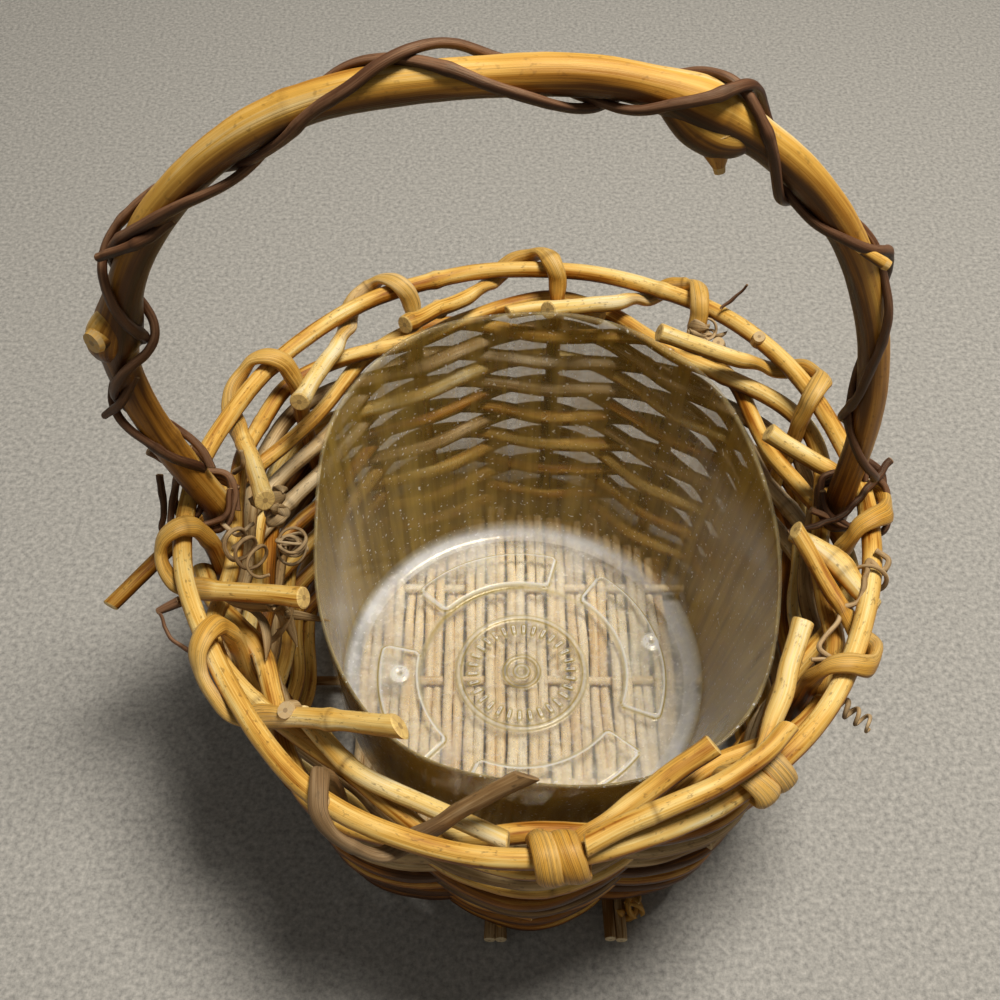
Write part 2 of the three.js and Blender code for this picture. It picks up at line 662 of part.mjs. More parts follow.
function addTendrils() {
  const innerAngle = STAKES[CURL_STAKE].angle;
  const onRow = stakeRing(topRowHeight, innerAngle) - weaveDepth;
  const lying = onTopRow + TENDRIL_ROD + CURL_RADIUS;
  const from = polar(onRow, innerAngle, lying);
  const to = polar(onRow - CURL_LENGTH, innerAngle + CURL_LENGTH, lying + CURL_RADIUS);
  addWinding("tendril_left", curlPath(from, to, CURL_RADIUS, CURL_TURNS), TENDRIL_ROD, 5);

  const clasp = [];
  const claspSteps = CLASP_TURNS * TENDRIL_STEPS_PER_TURN;
  const claspReach = HOOP_ROD + TENDRIL_ROD + 2 * CLEARANCE;
  for (let i = 0; i <= claspSteps; i++) {
    const degrees = CLASP_ANGLE + (CLASP_ADVANCE * i) / claspSteps;
    clasp.push(besideHoop(claspReach, degrees, CLASP_START + (360 * i) / TENDRIL_STEPS_PER_TURN));
  }
  addWinding("tendril_right", clasp, TENDRIL_ROD, 5);

  const outerAngle = STAKES[SMALL_CURL_STAKE].angle;
  const rowOutside = stakeRing(topRowHeight, outerAngle) + weaveDepth + WEAVER_ROD;
  const outside = rowOutside + CLEARANCE + TENDRIL_ROD;
  const root = polar(outside, outerAngle, topRowHeight + SMALL_CURL_RADIUS);
  const tip = polar(outside + CURL_LENGTH, outerAngle, topRowHeight);
  addWinding("tendril_front", curlPath(root, tip, SMALL_CURL_RADIUS, CURL_TURNS), TENDRIL_ROD, 5);
}

addHoop();
addStakes();
addWeavers();
addCrossSticks();
addBasePairs();
addLiner();
addHandle();
addVines();
addLashings();
addBorderRods();
addTendrils();

export default basket;
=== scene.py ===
"""Dresses the vine basket: barked rods on the part's own paths, wound vines, tendrils and a cloudy liner."""
import math

import bpy
import numpy as np
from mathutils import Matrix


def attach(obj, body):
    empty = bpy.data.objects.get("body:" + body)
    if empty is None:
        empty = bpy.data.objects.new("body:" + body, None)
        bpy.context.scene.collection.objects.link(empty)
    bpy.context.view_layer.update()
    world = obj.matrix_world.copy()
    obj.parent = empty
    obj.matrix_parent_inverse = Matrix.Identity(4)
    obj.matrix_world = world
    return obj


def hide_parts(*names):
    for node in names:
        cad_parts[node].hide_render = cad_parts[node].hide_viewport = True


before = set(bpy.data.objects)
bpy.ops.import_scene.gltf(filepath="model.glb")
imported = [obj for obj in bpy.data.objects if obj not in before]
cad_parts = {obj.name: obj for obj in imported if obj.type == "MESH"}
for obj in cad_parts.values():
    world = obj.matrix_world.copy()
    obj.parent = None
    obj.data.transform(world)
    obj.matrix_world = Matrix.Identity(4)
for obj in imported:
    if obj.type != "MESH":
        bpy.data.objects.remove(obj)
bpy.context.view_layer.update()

# Sizes are in millimetres and degrees, as the part's own are, and become metres when a mesh is made
MM = 0.001
SEED = 20
STEP = 1.2

CLEARANCE = 0.3
HOOP_RADIUS = 103.5
HOOP_HEIGHT = 107
HOOP_ROD = 2.9
HOOP_OVAL = 3.3
HOOP_OVAL_ANGLE = 74
HOOP_FLAT_DEPTH = 6
HOOP_FLAT_ANGLE = 216
HOOP_FLAT_WIDTH = 20
HOOP_JOINT_ANGLE = 273.5
HOOP_JOINT_GAP = 0.8
HOOP_POINTS = 73

STAKE_ROD = 2.7
STAKE_RING_AT_FLOOR = 80
STAKE_FOOT_HEIGHT = 0.8
WALL_SWELL = 2
WRAP_SLACK = 0.4
TURN_SHARE = 0.33
ROWS_PER_STAKE_POINT = 3
# Angle, run along the hoop, end angle past the stake, inset of the cut end, its rise, slant of its cut
STAKES = [
    (24, 13, 33, 28, 6, 10),
    (54, 12, 30, 28, 6, 20),
    (83, 13, 35, 21, 5, 5),
    (113, 13, 38, 20, 5, 10),
    (143, 14, 39, 25, 8, 15),
    (185, 9, 24, 30, 5, 10),
    (206, 15, 41, 24, 12, 35),
    (238, 14, 31, 14, 17, 50),
    (271, 7, 29, 12.5, 6, 15),
    (301, 11, 29, 15, 6, 10),
    (325, 12, 26, 28, 6, 40),
    (354, 14, 25, 24, 5, 5),
]
# A stake's way round the hoop: angle round it, then how far along, in runs and in turns over the top
STAKE_TURN = (
    (180, 0, 0), (135, 0, 0.15), (90, 0, 0.45), (45, 0, 0.8), (5, 0, 1.3),
    (-15, 1, -1), (-55, 1, -0.4), (-95, 1, 0), (-135, 1, 0.45),
)
# Stakes wound twice, each with its run in degrees, and their angles round the hoop
COILED = {8: 5.5, 9: 7}
COIL_TURN = range(180, -500, -45)
# Stakes that are dull and dry, and those whose stub narrows to its end
DULL_STAKES = (7,)
NARROW_STUBS = (10,)
# How flat a stake is crushed on the hoop, wound once or twice, how far out that starts and how far it sinks
CRUSHED_ONCE = 0.3
CRUSHED_TWICE = 0.42
CRUSH_SLACK = 0.5
CRUSH_REACH = 3
CRUSH_SINK = 0.8

WEAVER_ROD = 2.7
ROW_COUNT = 15
ROW_START_STEP = 5
POINTS_PER_STAKE = 3
DRY_ROWS = (6, 9, 11, 12)
TAIL_ROW = 13
TAIL_AFTER_STAKE = 4
TAIL_LENGTH = 68
TAIL_HEADING = 230
TAIL_DROP = 8
TAIL_SHARES = (0.4, 1)

BASE_ROOM = 3.3
CROSS_STICK_ROD = 1.6
CROSS_STICK_SPACING = 40
CROSS_STICK_COUNT = 3
PAIR_ROD = 1.75
PAIR_GAP = 0.6
# Least height of a base rod's middle, in its radii
PAIR_REST = 1.2
PAIR_SLOPE = 9
LONG_PAIR_OVERHANG = 4
LONG_PAIRS = (-1, 4)

LINER_FLOOR_ROOM = 7.6
LINER_DEPTH = 95
LINER_WALL = 0.8
LINER_CORNER = 6
LINER_ROOM_LEFT = 35.6
LINER_ROOM_RIGHT = 25.4
LINER_ROOM_BACK = 28.3
LINER_ROOM_FRONT = 20.3
LINER_SKEW = 3.7
LINER_SQUARENESS = 0.029
LINER_TILT = 9
LINER_LIFT_ROOM = 0.8
MOUTH_TRIES = 30

BORDER_ROD = 2.5
BORDER_LEFT_ANGLES = (226, 240, 254, 266.5)
BORDER_LEFT_END = 205
BORDER_FRONT_ANGLES = (277, 302.5, 309.5)
BORDER_BACK_STAKE = 2
BORDER_BACK_SPREAD = 10
BORDER_SLACK = 0.5

HANDLE_ROD = 4.3
HANDLE_RISE = 141
HANDLE_REACH_LEFT = 112
HANDLE_REACH_RIGHT = 96
HANDLE_SQUARENESS_LEFT = 2.5
HANDLE_SQUARENESS_RIGHT = 2.2
HANDLE_TUCK_HEIGHT = 65
HANDLE_TUCK_EASE = 1.2
HANDLE_Y = 3.8
KNOT_SWELL = 1.8
KNOT_LENGTH = 9
KNOT_PLACES = (0.178, 0.617)
ARCH_POINTS = 2000
ARCH_STEP = 0.25
ARCH_NEAR = 0.004

VINE_CROSSINGS = (0.035, 0.113, 0.176, 0.24, 0.35, 0.456, 0.556, 0.626, 0.694, 0.767, 0.905, 0.975)
VINE_STEPS_PER_CROSSING = 8
VINE_ROD = 1.35
VINE_FLAT = 0.12
# The vines lie closer here than in the solids: pressed on to the bark, and on each other where they cross
VINE_BEDDED = 0.8
VINE_LIFT = 2.0

LASHING_ROD = 1.3
LASHING_TURNS = 2
LASHING_GAP = 0.6
LASHING_SLACK = 0.27
LASHING_SLANT = 36
LASHING_ROUNDNESS = 0.55
LASHING_STEPS_PER_TURN = 20
LASHING_RIGHT_SHARE = 0.3

TENDRIL_ROD = 0.8
TENDRIL_STEPS_PER_TURN = 10
CURL_RADIUS = 4.2
CURL_TURNS = 3
CURL_LENGTH = 10
CURL_STAKE = 5
SMALL_CURL_RADIUS = 2.1
SMALL_CURL_STAKE = 10
CLASP_ANGLE = 344.5
CLASP_START = 210
CLASP_ADVANCE = 4
CLASP_TURNS = 1.5

# Shares of the solids' radii that some rods keep under their lumps and bark
HOOP_SHARE = 0.96
STAKE_SHARE = 0.97
DULL_SHARE = 0.76
VINE_SHARE = 0.92
LASHING_SHARE = 0.85
TENDRIL_SHARE = 0.75
# Lengths over which a rod's end is slanted or flares
SLANT_LENGTH = 6
FLARE_LENGTH = 4
# How much a crushed rod widens, and the shares of a cut end that its face and its pith take
CRUSH_WIDENS = 0.75
CUT_FACE = 0.86
PITH = 0.3

WRAP_RADIUS = HOOP_ROD + STAKE_ROD + CLEARANCE + WRAP_SLACK
WEAVE_DEPTH = STAKE_ROD + WEAVER_ROD + CLEARANCE
BASE_WAVE = CROSS_STICK_ROD + PAIR_ROD + CLEARANCE
BASE_MIDDLE = BASE_WAVE + PAIR_ROD
BASE_TOP = BASE_MIDDLE + BASE_WAVE + PAIR_ROD
BASE_RADIUS = STAKE_RING_AT_FLOOR - STAKE_ROD - BASE_ROOM
LONG_PAIR_REACH = STAKE_RING_AT_FLOOR + WEAVE_DEPTH + WEAVER_ROD + LONG_PAIR_OVERHANG
PAIR_PITCH = 4 * PAIR_ROD + PAIR_GAP
BOTTOM_ROW_HEIGHT = BASE_MIDDLE + PAIR_ROD + CLEARANCE + WEAVER_ROD
TOP_ROW_HEIGHT = HOOP_HEIGHT - WRAP_RADIUS - STAKE_ROD - CLEARANCE - WEAVER_ROD
ROW_PITCH = (TOP_ROW_HEIGHT - BOTTOM_ROW_HEIGHT) / (ROW_COUNT - 1)
ON_TOP_ROW = TOP_ROW_HEIGHT + WEAVER_ROD + CLEARANCE
LINER_BOTTOM = BASE_TOP + CLEARANCE
LINER_FLOOR_RADIUS = STAKE_RING_AT_FLOOR - WEAVE_DEPTH - WEAVER_ROD - LINER_FLOOR_ROOM
HANDLE_FOOT_INSET = HOOP_ROD + HANDLE_ROD + CLEARANCE


# Paths, as the part has them

def lerp(a, b, share):
    return a + (b - a) * share


def unit(vector):
    return vector / np.linalg.norm(vector)


def bump(distance, width):
    """A smooth hump, 1 at no distance."""
    return np.exp(-((distance / width) ** 2))


def eased(share):
    return share * share * (3 - 2 * share)


def polar(radius, degrees, height):
    angle = math.radians(degrees)
    return np.array([radius * math.cos(angle), radius * math.sin(angle), height])


def angle_of(point):
    return math.degrees(math.atan2(point[1], point[0])) % 360


def hoop_radius(degrees):
    oval = HOOP_OVAL * math.cos(2 * math.radians(degrees - HOOP_OVAL_ANGLE))
    from_flat = (degrees - HOOP_FLAT_ANGLE + 180) % 360 - 180
    return HOOP_RADIUS + oval - HOOP_FLAT_DEPTH * bump(from_flat, HOOP_FLAT_WIDTH)


def beside_hoop(distance, degrees, round_hoop):
    turn = math.radians(round_hoop)
    radius = hoop_radius(degrees) + distance * math.cos(turn)
    return polar(radius, degrees, HOOP_HEIGHT + distance * math.sin(turn))


MOUTH_LEFT = LINER_ROOM_LEFT - hoop_radius(180)
MOUTH_RIGHT = hoop_radius(0) - LINER_ROOM_RIGHT
MOUTH_FRONT = LINER_ROOM_FRONT - hoop_radius(270)
MOUTH_BACK = hoop_radius(90) - LINER_ROOM_BACK
MOUTH_X = (MOUTH_LEFT + MOUTH_RIGHT) / 2
MOUTH_Y = (MOUTH_FRONT + MOUTH_BACK) / 2
MOUTH_HALF_WIDTH = (MOUTH_RIGHT - MOUTH_LEFT) / 2
MOUTH_HALF_LENGTH = (MOUTH_BACK - MOUTH_FRONT) / 2


def mouth_point(turn):
    """A place of the liner's mouth, in plan, at a turn about its own middle."""
    reach = 1 - LINER_SQUARENESS * np.cos(4 * turn)
    across = reach * np.cos(turn)
    along = reach * np.sin(turn)
    return MOUTH_X + MOUTH_HALF_WIDTH * across - LINER_SKEW * along, MOUTH_Y + MOUTH_HALF_LENGTH * along


def mouth_radius(degrees):
    wanted = math.radians(degrees)
    turn = wanted
    for _ in range(MOUTH_TRIES):
        x, y = mouth_point(turn)
        away = wanted - math.atan2(y, x)
        turn += math.atan2(math.sin(away), math.cos(away))
    return math.hypot(*mouth_point(turn))


def stake_ring(height, degrees):
    share = height / HOOP_HEIGHT
    lean = lerp(STAKE_RING_AT_FLOOR, hoop_radius(degrees) - WRAP_RADIUS, share)
    return lean + WALL_SWELL * math.sin(math.pi * share)


def row_height(row):
    return BOTTOM_ROW_HEIGHT + row * ROW_PITCH


def stake_path(angle, run, end, inset, rise, coiled):
    heights = [STAKE_FOOT_HEIGHT] + [row_height(row) for row in range(0, ROW_COUNT, ROWS_PER_STAKE_POINT)]
    points = [polar(stake_ring(height, angle), angle, height) for height in heights]
    over = TURN_SHARE * run
    turn = [(round_hoop, runs * run + overs * over) for round_hoop, runs, overs in STAKE_TURN]
    if coiled:
        turn = [(round_hoop, run * i / (len(COIL_TURN) - 1)) for i, round_hoop in enumerate(COIL_TURN)]
    points += [beside_hoop(WRAP_RADIUS, angle + past, round_hoop) for round_hoop, past in turn]
    beside_liner = mouth_radius(angle + end) + LINER_LIFT_ROOM + STAKE_ROD
    cut_end = polar(max(hoop_radius(angle + end) - inset, beside_liner), angle + end, HOOP_HEIGHT + rise)
    return points + [lerp(points[-1], cut_end, 0.5), cut_end]


def stake_angle(i):
    return STAKES[i % len(STAKES)][0] + 360 * (i // len(STAKES))


def angle_at_stake(count):
    whole = math.floor(count)
    return lerp(stake_angle(whole), stake_angle(whole + 1), count - whole)


def weaver_path(row):
    tailed = row == TAIL_ROW
    start = TAIL_AFTER_STAKE + 1 if tailed else (row * ROW_START_STEP) % len(STAKES)
    steps = (len(STAKES) - 1) * POINTS_PER_STAKE + 1 if tailed else len(STAKES) * POINTS_PER_STAKE
    points = []
    for i in range(steps + 1):
        count = start + i / POINTS_PER_STAKE
        degrees = angle_at_stake(count)
        side = math.cos(math.pi * (count + row))
        radius = stake_ring(row_height(row), degrees) + WEAVE_DEPTH * side
        points.append(polar(radius, degrees, row_height(row)))
    if tailed:
        turn = points[-1]
        for share in TAIL_SHARES:
            points.append(turn + polar(share * TAIL_LENGTH, TAIL_HEADING, -share * share * TAIL_DROP))
    return points


def cross_stick_place(i):
    return (i - (CROSS_STICK_COUNT - 1) / 2) * CROSS_STICK_SPACING


def base_pair_paths():
    """Middle line of each pair of base rods, in the order of their nodes."""
    level = CROSS_STICK_ROD + CLEARANCE
    most = math.floor((BASE_RADIUS - CROSS_STICK_SPACING / 2) / PAIR_PITCH)
    paths = []
    for j in range(-most, most + 1):
        x = j * PAIR_PITCH - PAIR_ROD
        chord = math.sqrt(BASE_RADIUS ** 2 - x ** 2)
        crossed = [
            i for i in range(CROSS_STICK_COUNT) if abs(cross_stick_place(i)) + level + PAIR_SLOPE < chord
        ]
        last_stick = cross_stick_place(crossed[-1])
        half = chord
        if crossed[-1] != CROSS_STICK_COUNT - 1:
            half = min(chord, last_stick + CROSS_STICK_SPACING - CROSS_STICK_ROD - CLEARANCE)
        if j in LONG_PAIRS:
            half = LONG_PAIR_REACH
        ending = last_stick + level + PAIR_SLOPE
        path = [(x, -half, BASE_MIDDLE), (x, -ending, BASE_MIDDLE)]
        for i in crossed:
            height = BASE_MIDDLE + (BASE_WAVE if (i + j) % 2 == 0 else -BASE_WAVE)
            path += [(x, cross_stick_place(i) + side * level, height) for side in (-1, 1)]
        path += [(x, ending, BASE_MIDDLE), (x, half, BASE_MIDDLE)]
        paths.append(np.array(path, float))
    return paths


def handle_point(turn):
    across = -math.cos(math.pi * turn)
    left = across < 0
    reach = HANDLE_REACH_LEFT if left else HANDLE_REACH_RIGHT
    power = 2 / (HANDLE_SQUARENESS_LEFT if left else HANDLE_SQUARENESS_RIGHT)
    height = HANDLE_RISE * max(0.0, math.sin(math.pi * turn)) ** power
    foot_x = hoop_radius(180 if left else 0) - HANDLE_FOOT_INSET
    tuck = (reach - foot_x) * max(0.0, 1 - height / HANDLE_TUCK_HEIGHT) ** HANDLE_TUCK_EASE
    x = math.copysign(reach * abs(across) ** power - tuck, across)
    return np.array([x, HANDLE_Y, HOOP_HEIGHT + height])


def lengths_along(points):
    steps = np.linalg.norm(np.diff(points, axis=0), axis=1)
    return np.concatenate([[0.0], np.cumsum(steps)])


def respaced(points, step):
    """The same line with points about one step apart."""
    along = lengths_along(points)
    count = max(2, int(round(along[-1] / step)) + 1)
    places = np.linspace(0, along[-1], count)
    return np.stack([np.interp(places, along, points[:, axis]) for axis in range(3)], axis=1)


def smooth(points, step=STEP):
    """A smooth line through the points, with its own points one step apart."""
    points = np.asarray(points, float)
    ends = np.vstack([2 * points[0] - points[1], points, 2 * points[-1] - points[-2]])
    # For each round of blending, the knots between which each of its points is blended
    spans = (((0, 1), (1, 2), (2, 3)), ((0, 2), (1, 3)), ((1, 2),))
    line = []
    for i in range(len(points) - 1):
        p = ends[i:i + 4]
        knots = np.concatenate([[0.0], np.cumsum(np.sqrt(np.linalg.norm(np.diff(p, axis=0), axis=1)) + 1e-9)])
        count = max(4, int(np.linalg.norm(p[2] - p[1]) / (0.4 * step)))
        for t in np.linspace(knots[1], knots[2], count, endpoint=False):
            level = list(p)
            for span in spans:
                for k, (first, last) in enumerate(span):
                    low, high = knots[first], knots[last]
                    level[k] = level[k] * (high - t) / (high - low) + level[k + 1] * (t - low) / (high - low)
            line.append(level[0])
    line.append(points[-1])
    return respaced(np.array(line), step)


ARCH = respaced(np.array([handle_point(i / ARCH_POINTS) for i in range(ARCH_POINTS + 1)]), ARCH_STEP)
ARCH_ALONG = lengths_along(ARCH)
ARCH_LENGTH = ARCH_ALONG[-1]


def arch_at(share):
    return np.array([np.interp(share * ARCH_LENGTH, ARCH_ALONG, ARCH[:, axis]) for axis in range(3)])


def arch_inward(share):
    heading = unit(arch_at(min(1, share + ARCH_NEAR)) - arch_at(max(0, share - ARCH_NEAR)))
    return np.array([heading[2], 0, -heading[0]])


def handle_radius(share):
    knots = sum(bump((share - place) * ARCH_LENGTH, KNOT_LENGTH) for place in KNOT_PLACES)
    return HANDLE_ROD + KNOT_SWELL * knots


def vine_path(sense, over_first):
    points = []
    last = (len(VINE_CROSSINGS) - 1) * VINE_STEPS_PER_CROSSING
    for i in range(last + 1):
        count = i / VINE_STEPS_PER_CROSSING
        low = min(math.floor(count), len(VINE_CROSSINGS) - 2)
        share = lerp(VINE_CROSSINGS[low], VINE_CROSSINGS[low + 1], count - low)
        nearest = round(count)
        over = nearest % 2 == (0 if over_first else 1)
        lift = VINE_LIFT * math.cos(math.pi * (count - nearest)) ** 2 if over else 0
        reach = handle_radius(share) + VINE_BEDDED + lift
        turn = math.pi * count
        sideways = np.array([0, sense * reach * math.sin(turn), 0])
        points.append(arch_at(share) + arch_inward(share) * reach * math.cos(turn) + sideways)
    return points


def lashing_path(degrees, outside, lean):
    hoop = hoop_radius(degrees)
    foot = hoop - HANDLE_FOOT_INSET
    thick = LASHING_ROD + CLEARANCE
    inner = foot - HANDLE_ROD - thick
    outer = hoop + HOOP_ROD + outside + thick
    slant = math.radians(LASHING_SLANT)
    over_hoop = HOOP_ROD + thick + LASHING_SLACK
    half = max((HANDLE_ROD + thick) / math.cos(slant), over_hoop / math.sin(slant))
    last = LASHING_TURNS * LASHING_STEPS_PER_TURN

    def bulge(value):
        return math.copysign(abs(value) ** LASHING_ROUNDNESS, value)

    points = []
    for i in range(last + 1):
        turn = 2 * math.pi * i / LASHING_STEPS_PER_TURN
        radial = (inner + outer) / 2 - (outer - inner) / 2 * bulge(math.cos(turn))
        aside = (i / last - 0.5) * LASHING_TURNS * (2 * LASHING_ROD + LASHING_GAP)
        towards_hoop = min(1, max(0, (radial - foot) / (hoop - foot)))
        slide = lerp(math.tan(slant), -1 / math.tan(slant), towards_hoop)
        diagonal = half * bulge(math.sin(turn)) + aside * slide
        along = diagonal * math.cos(slant) - aside * math.sin(slant)
        up = diagonal * math.sin(slant) + aside * math.cos(slant)
        points.append(polar(radial, degrees, HOOP_HEIGHT + up) + polar(lean * along, degrees + 90, 0))
    return points


def behind_stakes(degrees, slack):
    resting = ON_TOP_ROW + BORDER_ROD
    return polar(stake_ring(resting, degrees) - STAKE_ROD - CLEARANCE - BORDER_ROD - slack, degrees, resting)


def border_paths():
    on_hoop = HOOP_HEIGHT + HOOP_ROD + CLEARANCE + BORDER_ROD
    on_wrap = HOOP_HEIGHT + WRAP_RADIUS + STAKE_ROD + CLEARANCE + BORDER_ROD
    heights = (on_hoop, on_wrap, on_wrap + BORDER_SLACK)
    inside_hoop = HOOP_ROD + BORDER_ROD + CLEARANCE + BORDER_SLACK
    back = STAKES[BORDER_BACK_STAKE][0]
    left = [behind_stakes(degrees, BORDER_SLACK) for degrees in BORDER_LEFT_ANGLES[:-1]]
    return {
        "left": left + [beside_hoop(inside_hoop, BORDER_LEFT_ANGLES[-1], BORDER_LEFT_END)],
        "back": [
            behind_stakes(back + side * BORDER_BACK_SPREAD, abs(side) * 4 * BORDER_SLACK)
            for side in (-1, 0, 1)
        ],
        "front": [
            polar(hoop_radius(degrees) - 2 * i * BORDER_SLACK, degrees, heights[i])
            for i, degrees in enumerate(BORDER_FRONT_ANGLES)
        ],
    }


def curl_path(start, end, radius):
    along = unit(end - start)
    across = unit(np.cross((0, 0, 1), along))
    up = np.cross(along, across)
    last = CURL_TURNS * TENDRIL_STEPS_PER_TURN
    points = []
    for i in range(last + 1):
        turn = 2 * math.pi * i / TENDRIL_STEPS_PER_TURN
        aside = across * radius * math.sin(turn) - up * radius * math.cos(turn)
        points.append(lerp(start, end, i / last) + aside)
    return points


def tendril_paths():
    inner = STAKES[CURL_STAKE][0]
    on_row = stake_ring(TOP_ROW_HEIGHT, inner) - WEAVE_DEPTH
    lying = ON_TOP_ROW + TENDRIL_ROD + CURL_RADIUS
    left_end = polar(on_row - CURL_LENGTH, inner + CURL_LENGTH, lying + CURL_RADIUS)
    steps = int(CLASP_TURNS * TENDRIL_STEPS_PER_TURN)
    step_turn = 360 / TENDRIL_STEPS_PER_TURN
    reach = HOOP_ROD + TENDRIL_ROD + 2 * CLEARANCE
    outer = STAKES[SMALL_CURL_STAKE][0]
    outside = stake_ring(TOP_ROW_HEIGHT, outer) + WEAVE_DEPTH + WEAVER_ROD + CLEARANCE + TENDRIL_ROD
    front_start = polar(outside, outer, TOP_ROW_HEIGHT + SMALL_CURL_RADIUS)
    front_end = polar(outside + CURL_LENGTH, outer, TOP_ROW_HEIGHT)
    return {
        "left": curl_path(polar(on_row, inner, lying), left_end, CURL_RADIUS),
        "right": [
            beside_hoop(reach, CLASP_ANGLE + CLASP_ADVANCE * i / steps, CLASP_START + i * step_turn)
            for i in range(steps + 1)
        ],
        "front": curl_path(front_start, front_end, SMALL_CURL_RADIUS),
    }


# Node trees

class Tree:
    """A node tree, with short ways to add nodes to it."""

    def __init__(self, tree):
        self.tree = tree

    def feed(self, node, inputs):
        """Sets or links a node's inputs, by name or number."""
        for name, value in inputs.items():
            if isinstance(value, bpy.types.NodeSocket):
                self.tree.links.new(value, node.inputs[name])
            else:
                node.inputs[name].default_value = value

    def node(self, kind, inputs=None, **settings):
        made = self.tree.nodes.new(kind)
        for name, value in settings.items():
            setattr(made, name, value)
        self.feed(made, inputs or {})
        return made

    def out(self, kind, inputs=None, **settings):
        """A new node's first output."""
        return self.node(kind, inputs, **settings).outputs[0]

    def maths(self, operation, a, b, clamp=False):
        return self.out("ShaderNodeMath", {0: a, 1: b}, operation=operation, use_clamp=clamp)

    def add(self, total, *parts, clamp=False):
        for part in parts:
            total = self.maths("ADD", total, part, clamp)
        return total

    def minus(self, a, b):
        return self.maths("SUBTRACT", a, b)

    def times(self, a, b, clamp=False):
        return self.maths("MULTIPLY", a, b, clamp)

    def over(self, a, b):
        return self.maths("DIVIDE", a, b)

    def vectors(self, operation, a, b):
        second = "Scale" if operation == "SCALE" else 1
        made = self.node("ShaderNodeVectorMath", {0: a, second: b}, operation=operation)
        return made.outputs["Value" if operation in ("DOT_PRODUCT", "DISTANCE") else "Vector"]

    def joined(self, x, y, z):
        return self.out("ShaderNodeCombineXYZ", {0: x, 1: y, 2: z})

    def split(self, vector):
        return self.node("ShaderNodeSeparateXYZ", {0: vector}).outputs

    def noise(self, vector, scale, detail, roughness=0.5):
        inputs = {"Vector": vector, "Scale": scale, "Detail": detail, "Roughness": roughness}
        return self.out("ShaderNodeTexNoise", inputs)

    def stored(self, geometry, name, value, kind="FLOAT", domain="POINT", selection=True):
        inputs = {"Geometry": geometry, "Selection": selection, "Name": name, "Value": value}
        return self.out("GeometryNodeStoreNamedAttribute", inputs, data_type=kind, domain=domain)

    def kept(self, name, kind="FLOAT"):
        return self.out("GeometryNodeInputNamedAttribute", {"Name": name}, data_type=kind)

    def value(self, name, output="Fac"):
        return self.node("ShaderNodeAttribute", attribute_name=name).outputs[output]

    def spot(self):
        return self.node("ShaderNodeTexCoord").outputs["Object"]

    def mixed(self, share, a, b):
        """A colour between two colours."""
        a, b = ((*colour, 1) if isinstance(colour, tuple) else colour for colour in (a, b))
        return self.node("ShaderNodeMix", {0: share, 6: a, 7: b}, data_type="RGBA").outputs[2]

    def ramp(self, share, stops):
        made = self.node("ShaderNodeValToRGB", {0: share})
        elements = made.color_ramp.elements
        while len(elements) < len(stops):
            elements.new(0.5)
        for element, (at, colour) in zip(elements, stops):
            element.position = at
            element.color = (*colour, 1)
        return made.outputs[0]

    def from_to(self, value, low, high, to_low=0.0, to_high=1.0):
        return self.out("ShaderNodeMapRange", {0: value, 1: low, 2: high, 3: to_low, 4: to_high}, clamp=True)

    def bumped(self, height, strength, distance):
        return self.out("ShaderNodeBump", {"Strength": strength, "Distance": distance, "Height": height})


def new_tree(name, kind, inputs, outputs):
    """A node tree with named sockets, its given values and the node of its results."""
    tree = bpy.data.node_groups.new(name, kind)
    for way, sockets in (("INPUT", inputs), ("OUTPUT", outputs)):
        for socket, socket_kind, *default in sockets:
            made = tree.interface.new_socket(socket, in_out=way, socket_type=f"NodeSocket{socket_kind}")
            if default:
                made.default_value = default[0]
    return Tree(tree), tree.nodes.new("NodeGroupInput").outputs, tree.nodes.new("NodeGroupOutput")


